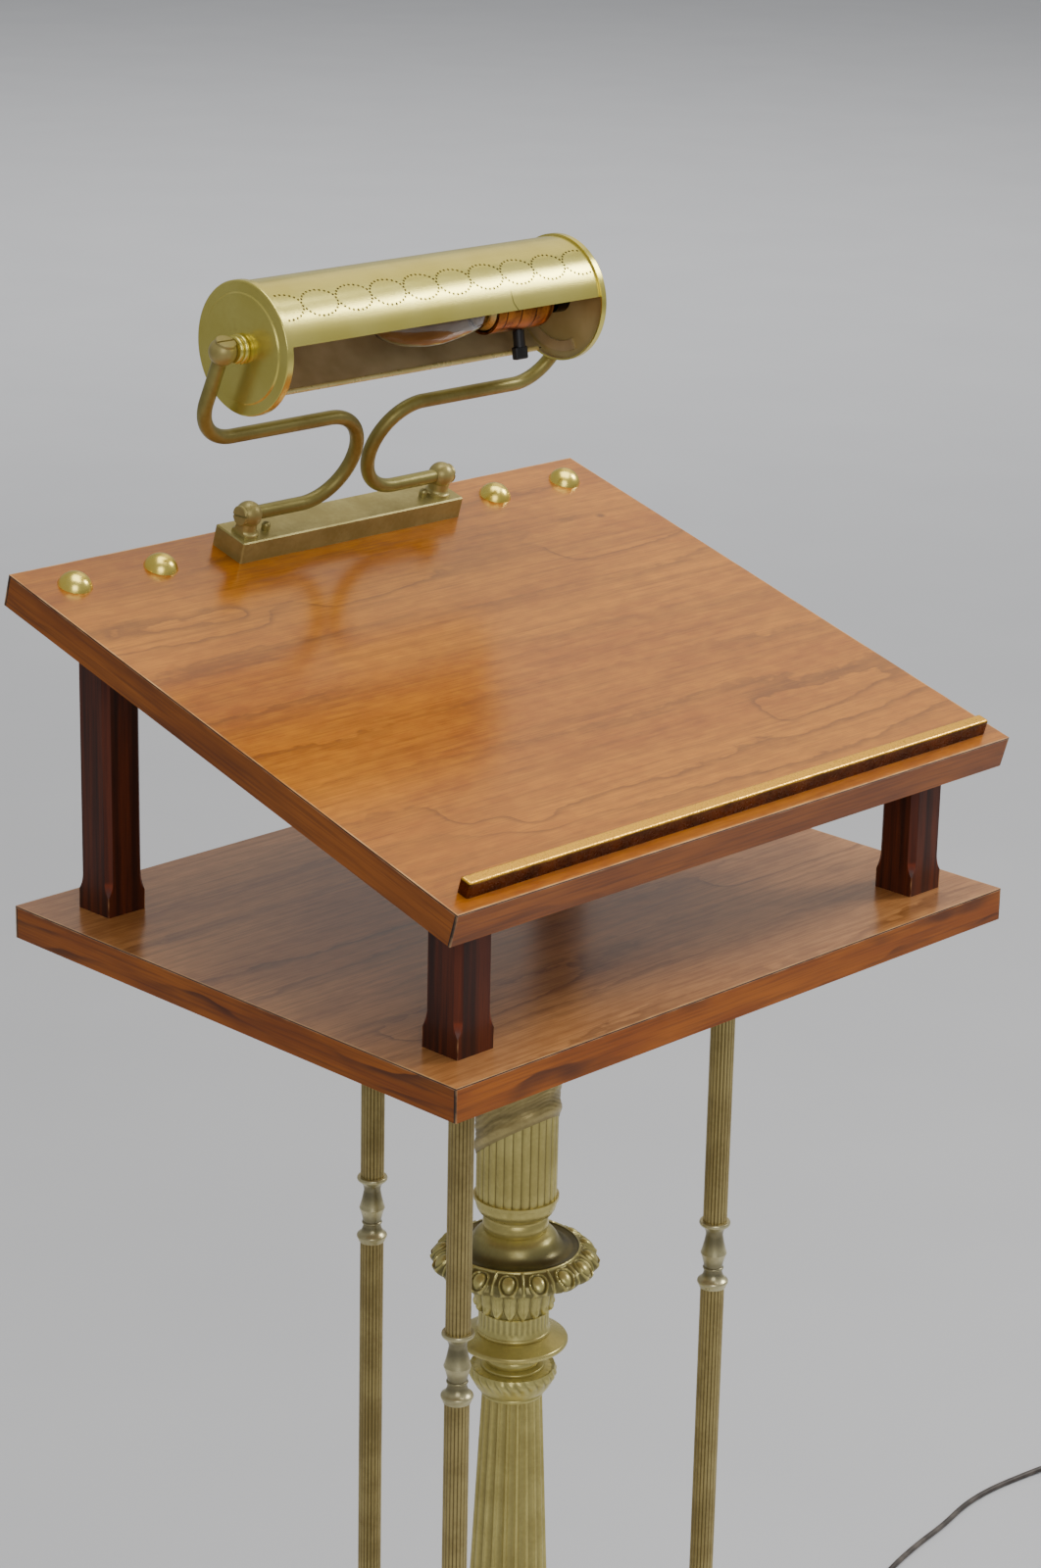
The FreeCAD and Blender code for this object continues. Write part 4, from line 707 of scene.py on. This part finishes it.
post_x, post_front_y, post_rear_y = 0.1885, -0.139, 0.151
for post, x, y in (("front_left", -post_x, post_front_y), ("front_right", post_x, post_front_y),
                   ("rear_left", -post_x, post_rear_y), ("rear_right", post_x, post_rear_y)):
    dress(stained_post("stained mahogany " + post, x, y, 10 * x + y), "post_" + post)
dress(core_wood, "post_dowels")

# Reading board. The same build as the shelf, slanted towards the reader: core, cherry-faced sheet
# and edge strips under gloss lacquer.
board_slant = math.radians(16)
board_place = (0, -0.178, 1.035)
board_turn = (board_slant, 0, 0)
board_size = (panel_width, 0.381998)
board_swirls = [(-0.155, 0.074, 1, 0.32, 0.017, 0.06, -0.06, 1.25),
                (-0.122, 0.052, 1, 0.03, 0.009, 0.0, 0.0, 0.8),
                (0.112, 0.080, 1, 0.20, 0.018, 0.05, 0.0, 1.2),
                (0.136, 0.284, 1, 0.12, 0.016, 0.04, 0.0, 1.15),
                (-0.130, 0.294, -1, 0.20, 0.016, 0.03, 0.05, 1.2),
                (-0.06, 0.292, 1, 0.07, 0.012, 0.0, 0.0, 0.9)]
board_knots = [(0.187, 0.3115, 0.0055)]
dress(cherry("board cherry", board_place, board_turn, board_size, paint(192, 115, 4), paint(152, 79, 2),
             cherry_dark, board_swirls, 0.4, board_knots), "board_top_sheet")
dress(edge_strip("board strip cherry", board_place, board_turn, board_size, paint(160, 88, 20),
                 paint(132, 68, 13), strip_dark, 1.7, 0.3), "board_edge_strips")
dress(core_wood, "board_core")

# Book ledge. A square brass rail pinned along the board's front edge; its top is bright gold and
# its faces are darker brown.
ledge = Finish("ledge brass", Metallic=0.9)
ledge_here = ledge.local(board_place, board_turn)
ledge_up = ledge.axes(ledge_here)[2]
ledge_cloud = ledge.noise(ledge_here, 70, 4.0)
ledge_grain = ledge.noise(ledge_here, 900, 3.0)
ledge_top = ledge.fade(ledge.total(ledge_up, ledge.times(ledge_cloud, 0.0012)), 0.0086, 0.0096)
ledge_colour = ledge.mix(ledge.fade(ledge_cloud, 0.3, 0.7), paint(70, 38, 18), paint(112, 66, 30))
ledge_colour = ledge.mix(ledge_top, ledge_colour, paint(248, 188, 66))
ledge_colour = ledge.mix(ledge.fade(ledge_grain, 0.52, 0.72, 0.0, 0.6), ledge_colour, paint(120, 80, 30))
ledge.relief(ledge_grain, 0.00025, 0.5)
dress(ledge.done(ledge_colour, ledge.fade(ledge_grain, 0.3, 0.7, 0.24, 0.44)), "book_ledge")

# Dome studs. Four turned domes of polished brass, each with a shank that goes down into the board;
# two stand at each end of its back edge.
dress(brass("polished brass", paint(255, 232, 122), paint(248, 216, 98), paint(140, 110, 50), 0.25, 0.31,
            metal=1.0, spots=0.1), "dome_studs")

# Lamp bar, balls and arms. A solid brass bar is screwed to the board; two balls on it hold bent
# tube arms with slotted pivot screws, and a second pair of balls at the top holds the shade.
dress(brass("bar brass", paint(176, 164, 104), paint(154, 140, 80), paint(84, 68, 38), 0.34, 0.42),
      "lamp_bar", "lamp_bar_screws")
dress(brass("arm brass", paint(152, 142, 78), paint(134, 122, 62), paint(80, 66, 34), 0.38, 0.46,
            metal=0.5), "arm_left", "arm_right")
dress(brass("ball brass", paint(180, 166, 102), paint(160, 144, 84), paint(92, 74, 42), 0.36, 0.44,
            metal=0.5),
      "lower_ball_left", "lower_ball_right", "upper_ball_left", "upper_ball_right", "slotted_plugs")


# Lamp shade. A brass sheet rolled to an open tube, with a hem on its rear lip and a chain of punched
# dots, is held between two pressed caps; satin lacquer outside, dull and brown inside.
shade_axis = Vector((0, 0.103484, 1.270507))
shade_radius, sheet_thickness = 0.0371, 0.0008
shade_half = 0.12665
front_lip, rear_lip = 171.5, -66.0
hem_radius, hem_half = 0.0016, 0.12305


def shade_brass(name, inside, shaded_cut=None):
    """Satin lacquered brass; inside() gives where the dull inner face begins, shaded_cut() where painted
    shade darkens the cut metal and a crack.
    """
    finish = Finish(name)
    here = finish.local(shade_axis)
    cloud = finish.noise(here, 30, 3.0)
    drawn = finish.noise(here, 1.0, 3.0, (14, 300, 300))
    speck = finish.fade(finish.noise(here, 260, 4.0), 0.66, 0.76, 0.0, 0.45)
    colour = finish.mix(finish.fade(cloud, 0.3, 0.7), paint(216, 202, 102), paint(226, 213, 116))
    colour = finish.mix(finish.fade(drawn, 0.4, 0.7, 0.0, 0.08), colour, paint(178, 158, 74))
    colour = finish.mix(finish.times(speck, finish.fade(cloud, 0.45, 0.7)), colour, paint(158, 132, 60))
    dull = finish.mix(finish.fade(cloud, 0.3, 0.7), paint(172, 152, 110), paint(208, 190, 144))
    hidden = inside(finish, here)
    colour = finish.mix(hidden, colour, dull)
    if shaded_cut:
        # Painted shade in the punched dots' walls, with the crack, in near-black brown.
        colour = finish.mix(shaded_cut(finish, here), colour, paint(26, 20, 10))
    finish.join(finish.shader.inputs["Metallic"], finish.fade(hidden, 0.0, 1.0, 0.8, 0.25))
    shine = finish.fade(drawn, 0.3, 0.7, 0.22, 0.25)
    return finish.done(colour, finish.total(shine, finish.times(hidden, 0.12)))


def round_axis(x, radius, degrees):
    """Place round the shade's axis, from the rear upwards."""
    angle = math.radians(degrees)
    return (x, shade_axis.y + radius * math.cos(angle), shade_axis.z + radius * math.sin(angle))


def rod_mesh(start, end, radius, sides, points, faces):
    """Add a closed straight rod to a list of points and faces."""
    start, end = Vector(start), Vector(end)
    way = (end - start).normalized()
    side = way.orthogonal().normalized()
    first = len(points)
    for centre in (start, end):
        for index in range(sides):
            turn = Matrix.Rotation(2 * math.pi * index / sides, 3, way)
            points.append(tuple(centre + turn @ side * radius))
    for index in range(sides):
        after = (index + 1) % sides
        faces.append((first + index, first + after, first + sides + after, first + sides + index))
    faces.append(tuple(first + index for index in reversed(range(sides))))
    faces.append(tuple(first + sides + index for index in range(sides)))


sheet_steps = 190
sheet_points, sheet_faces = [], []
for x in (-shade_half, shade_half):
    for radius in (shade_radius, shade_radius - sheet_thickness):
        for step in range(sheet_steps + 1):
            sheet_points.append(round_axis(x, radius, rear_lip + (front_lip - rear_lip) * step / sheet_steps))
row = sheet_steps + 1
outer_left, inner_left, outer_right, inner_right = 0, row, 2 * row, 3 * row
for step in range(sheet_steps):
    after = step + 1
    sheet_faces.append((outer_left + step, outer_right + step, outer_right + after, outer_left + after))
    sheet_faces.append((inner_left + after, inner_right + after, inner_right + step, inner_left + step))
    sheet_faces.append((outer_left + after, inner_left + after, inner_left + step, outer_left + step))
    sheet_faces.append((outer_right + step, inner_right + step, inner_right + after, outer_right + after))
for step, flip in ((0, False), (sheet_steps, True)):
    lip_face = (outer_left + step, inner_left + step, inner_right + step, outer_right + step)
    sheet_faces.append(tuple(reversed(lip_face)) if flip else lip_face)


def from_axis(finish, here):
    """Distance from the shade's long axis."""
    x, y, z = finish.axes(here)
    return finish.maths("SQRT", finish.total(finish.times(y, y), finish.times(z, z)))


def inside_tube(finish, here):
    return finish.fade(from_axis(finish, here), 0.0365, 0.0364)


crack_place = 0.0500


def dot_shade_and_crack(finish, here):
    """Painted shade on the cut walls of the punched dots and the sheet's cut edges, and a short dark crack up
    from the front lip.
    """
    x, y, z = finish.axes(here)
    radius = from_axis(finish, here)
    # Painted shade: the dots' walls and the sheet's cut edges are near-black so the holes read as dark.
    edge = finish.times(finish.fade(radius, 0.03708, 0.03702), finish.fade(radius, 0.03635, 0.0365))
    sway = finish.total(finish.times(finish.fade(z, 0.012, 0.004), 0.0036),
                        finish.times(finish.noise(here, 180), 0.0016))
    apart = finish.maths("ABSOLUTE", finish.total(x, finish.times(sway, -1), -crack_place))
    crack = finish.times(finish.fade(apart, 0.0004, 0.0002), finish.fade(z, 0.0185, 0.016),
                         finish.fade(y, 0.0, -0.01))
    return finish.maths("MAXIMUM", edge, finish.times(crack, 0.85))


shade_outside = shade_brass("satin brass tube", inside_tube, dot_shade_and_crack)
sheet_sharp = 30
shade_sheet_piece = mesh_piece("shade_sheet", sheet_points, sheet_faces, shade_outside, sheet_sharp)
shade_sheet_piece.data.flip_normals()

ovals, oval_pitch, oval_angle, oval_shift = 10, 0.0260, 135.0, -0.002
oval_half_length, oval_half_height = 0.0128, 0.0087
dots_in_oval = 24
dot_radius = 0.0008
dot_spacing = 2.6 * dot_radius
last_dot = hem_half - 0.002
punch_points, punch_faces, punched_places = [], [], []
for oval in range(ovals):
    centre_x = (oval - (ovals - 1) / 2) * oval_pitch + oval_shift
    for dot in range(dots_in_oval):
        turn = 2 * math.pi * (dot + 0.5) / dots_in_oval
        x = centre_x + oval_half_length * math.cos(turn)
        degrees = oval_angle + math.degrees(oval_half_height * math.sin(turn) / shade_radius)
        place = Vector(round_axis(x, shade_radius, degrees))
        crowded = any((place - other).length < dot_spacing for other in punched_places)
        if crowded or abs(x) > last_dot:
            continue
        punched_places.append(place)
        rod_mesh(round_axis(x, shade_radius - 0.002, degrees), round_axis(x, shade_radius + 0.001, degrees),
                 dot_radius, 8, punch_points, punch_faces)
punch = mesh_piece("dot_punch", punch_points, punch_faces, shade_outside)
cut = shade_sheet_piece.modifiers.new("dots", "BOOLEAN")
cut.operation = "DIFFERENCE"
cut.solver = "MANIFOLD"
cut.object = punch
bpy.context.view_layer.update()
sheet_with_holes = shade_sheet_piece.evaluated_get(bpy.context.evaluated_depsgraph_get())
punched = bpy.data.meshes.new_from_object(sheet_with_holes)
shade_sheet_piece.modifiers.clear()
shade_sheet_piece.data = punched
punched.shade_smooth()
punched.set_sharp_from_angle(angle=math.radians(sheet_sharp))
bpy.data.objects.remove(punch)

hem_points, hem_faces = [], []
sheet_middle = shade_radius - sheet_thickness / 2
rod_mesh(round_axis(-hem_half, sheet_middle, rear_lip), round_axis(hem_half, sheet_middle, rear_lip),
         hem_radius, 16, hem_points, hem_faces)
# Paler, less metallic copy of the shade's brass: the rolled rear hem is partly a painted highlight line.
hem_highlight_brass = brass("hem highlight brass", paint(232, 220, 150), paint(214, 198, 126), paint(120, 98, 52), 0.24, 0.32,
                  metal=0.35)
shade_hem = mesh_piece("shade_hem", hem_points, hem_faces, hem_highlight_brass, 50)
for piece in (shade_sheet_piece, shade_hem):
    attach(piece, "lamp_shade")
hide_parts("shade_tube")


def inside_caps(finish, here):
    x = finish.axes(here)[0]
    within = finish.fade(finish.maths("ABSOLUTE", x), 0.12675, 0.1266)
    return finish.times(within, finish.fade(from_axis(finish, here), 0.0374, 0.0372))


dress(shade_brass("satin brass caps", inside_caps), "shade_cap_left", "shade_cap_right")

# Socket, bulb and switch key. A coppery socket shell is held by a collar on the right cap; a clear
# torpedo bulb is screwed into it, and a black key below switches it.
socket = Finish("socket copper", Metallic=1.0)
socket_here = socket.local(shade_axis)
socket_x = socket.axes(socket_here)[0]
socket_cloud = socket.noise(socket_here, 160, 4.0)
socket_colour = socket.mix(socket.fade(socket_cloud, 0.3, 0.7), paint(118, 66, 22), paint(178, 112, 46))
lines_in_metre = 82
socket_band = socket.maths("FRACT", socket.times(socket_x, lines_in_metre))
off_line = socket.maths("ABSOLUTE", socket.maths("SUBTRACT", socket_band, 0.5))
socket_line = socket.fade(off_line, 0.06, 0.02)
socket_colour = socket.mix(socket.times(socket_line, 0.8), socket_colour, paint(60, 36, 18))
socket_black = socket.fade(socket_x, 0.1125, 0.1135)
socket_colour = socket.mix(socket_black, socket_colour, paint(30, 28, 27))
socket.relief(socket.total(socket.times(socket_line, -1), socket.times(socket_cloud, 0.3)), 0.0003, 0.6)
dress(socket.done(socket_colour, socket.fade(socket_cloud, 0.3, 0.7, 0.26, 0.4)), "lamp_socket")
dress(plastic("key plastic", paint(40, 38, 37), paint(18, 17, 17), 0.3), "switch_key")


def along_shade(name, outline, around, finish, smooth=40):
    """Piece turned about the shade's axis; outline is (place along the axis, radius) in millimetres."""
    points = [round_axis(x / 1000, radius / 1000, 360 * step / around)
              for x, radius in outline for step in range(around)]
    piece = mesh_piece(name, points, ring_faces(len(outline), around), finish, smooth)
    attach(piece, "lamp_shade")
    return piece


glass = Finish("bulb glass", Transmission_Weight=1.0, IOR=1.47)
smudge = glass.noise(glass.local(), 90, 3.0)
glass_colour = glass.mix(smudge, paint(250, 246, 240), paint(238, 230, 220))
bulb_glass = glass.done(glass_colour, glass.fade(smudge, 0.3, 0.8, 0.02, 0.09))
glass_wall = 0.7
glass_outline = bent((-26.9, 0.3), (-24.3, 5.8, -18.6, 9.4), (-2.0, 14.8, 20, 16.7), (39, 14.5, 58, 10.4),
                     pieces=14)
glass_inside = [(x, max(radius - glass_wall, 0.1)) for x, radius in reversed(glass_outline)]
glass_inside[-1] = (glass_inside[-1][0] + glass_wall, glass_inside[-1][1])
bulb_piece = along_shade("bulb_shell", glass_outline + glass_inside, 64, bulb_glass)
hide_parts("bulb")
cap_outline = bent((57.5, 9.2), (58, 10.5), (60.3, 12.7), (63, 12.2, 65, 12.7), (68, 12.2, 70, 12.7),
                   (73, 12.2, 75, 12.7), (80, 12.7), (84.8, 5.2), (84.8, 0.2), (57.5, 0.2), pieces=4)
cap_brass = brass("screw cap brass", paint(214, 196, 130), paint(186, 164, 98), paint(90, 70, 36), 0.2, 0.34)
bulb_cap = along_shade("bulb_screw_cap", cap_outline, 48, cap_brass)
stem_outline = bent((57, 0.1), (26, 0.1), (28, 1.8), (32, 2.2), (44, 3.2, 57, 4.6), pieces=6)
stem = along_shade("bulb_stem", stem_outline, 24, bulb_glass)
filament_thickness = 0.00028
filament_root, filament_start, filament_reach = 0.030, 0.018, 0.026
zigzag_steps = 12
filament_path = [round_axis(filament_root, 0.0018, 0), round_axis(filament_start, 0.004, 0)]
for step in range(2 * zigzag_steps + 1):
    out = 1 - abs(1 - step / zigzag_steps)
    filament_path.append(round_axis(filament_start - filament_reach * out, 0.0045, step * 30))
filament_path += [round_axis(filament_start, 0.004, 180), round_axis(filament_root, 0.0018, 180)]
filament = round_wire("bulb_filament", "POLY", filament_path, filament_thickness, steel.material)
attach(filament, "lamp_shade")

# Floor and light. A plain pale studio floor under large soft lights: overhead, from the right and
# from the front left, two warm ones behind that shine in the lacquer, and one for the far floor.
floor_half = 30.0
floor_finish = Finish("pale floor", Roughness=0.85)
floor_grain = floor_finish.noise(floor_finish.local(), 3.0, 4.0)
floor_finish.done(floor_finish.mix(floor_grain, paint(198, 198, 200), paint(206, 206, 207)))
floor_corners = [(-floor_half, -floor_half, 0), (floor_half, -floor_half, 0),
                 (floor_half, floor_half, 0), (-floor_half, floor_half, 0)]
floor = mesh_piece("floor", floor_corners, [(0, 1, 2, 3)], floor_finish.material)


def soft_light(name, place, aim, width, height, power, tint=(1, 1, 1)):
    """Rectangular lamp, size in metres and power in watts, turned towards the place it lights."""
    lamp = bpy.data.lights.new(name, "AREA")
    lamp.shape = "RECTANGLE"
    lamp.size = width
    lamp.size_y = height
    lamp.energy = power
    lamp.color = tint
    light = bpy.data.objects.new(name, lamp)
    light.location = place
    light.rotation_euler = (Vector(aim) - Vector(place)).to_track_quat("-Z", "Y").to_euler()
    bpy.context.scene.collection.objects.link(light)


soft_light("overhead", (0.3, -0.3, 3.6), (0, 0, 1.0), 2.2, 2.2, 58)
soft_light("right", (3.3, -1.425, 3.5), (0, 0, 1.1), 1.3, 1.3, 106)
soft_light("behind", (2.31, 1.36, 3.19), (0, 0, 1.09), 1.8, 1.8, 7, (1, 0.84, 0.54))
soft_light("low_behind", (1.95, 2.0, 1.9), (0, 0, 0.94), 1.8, 0.6, 0.5, (1, 0.86, 0.66))
soft_light("front_left", (-2.0, -2.6, 2.4), (0, 0, 1.0), 1.8, 1.8, 34)
soft_light("far_floor", (5.5, 5.5, 5.0), (7.5, 7.5, 0), 7.0, 7.0, 330)
room = bpy.data.worlds.new("room")
room.use_nodes = True
backdrop = room.node_tree.nodes["Background"]
backdrop.inputs["Color"].default_value = (0.95, 0.97, 1.0, 1)
backdrop.inputs["Strength"].default_value = 0.36
bpy.context.scene.world = room
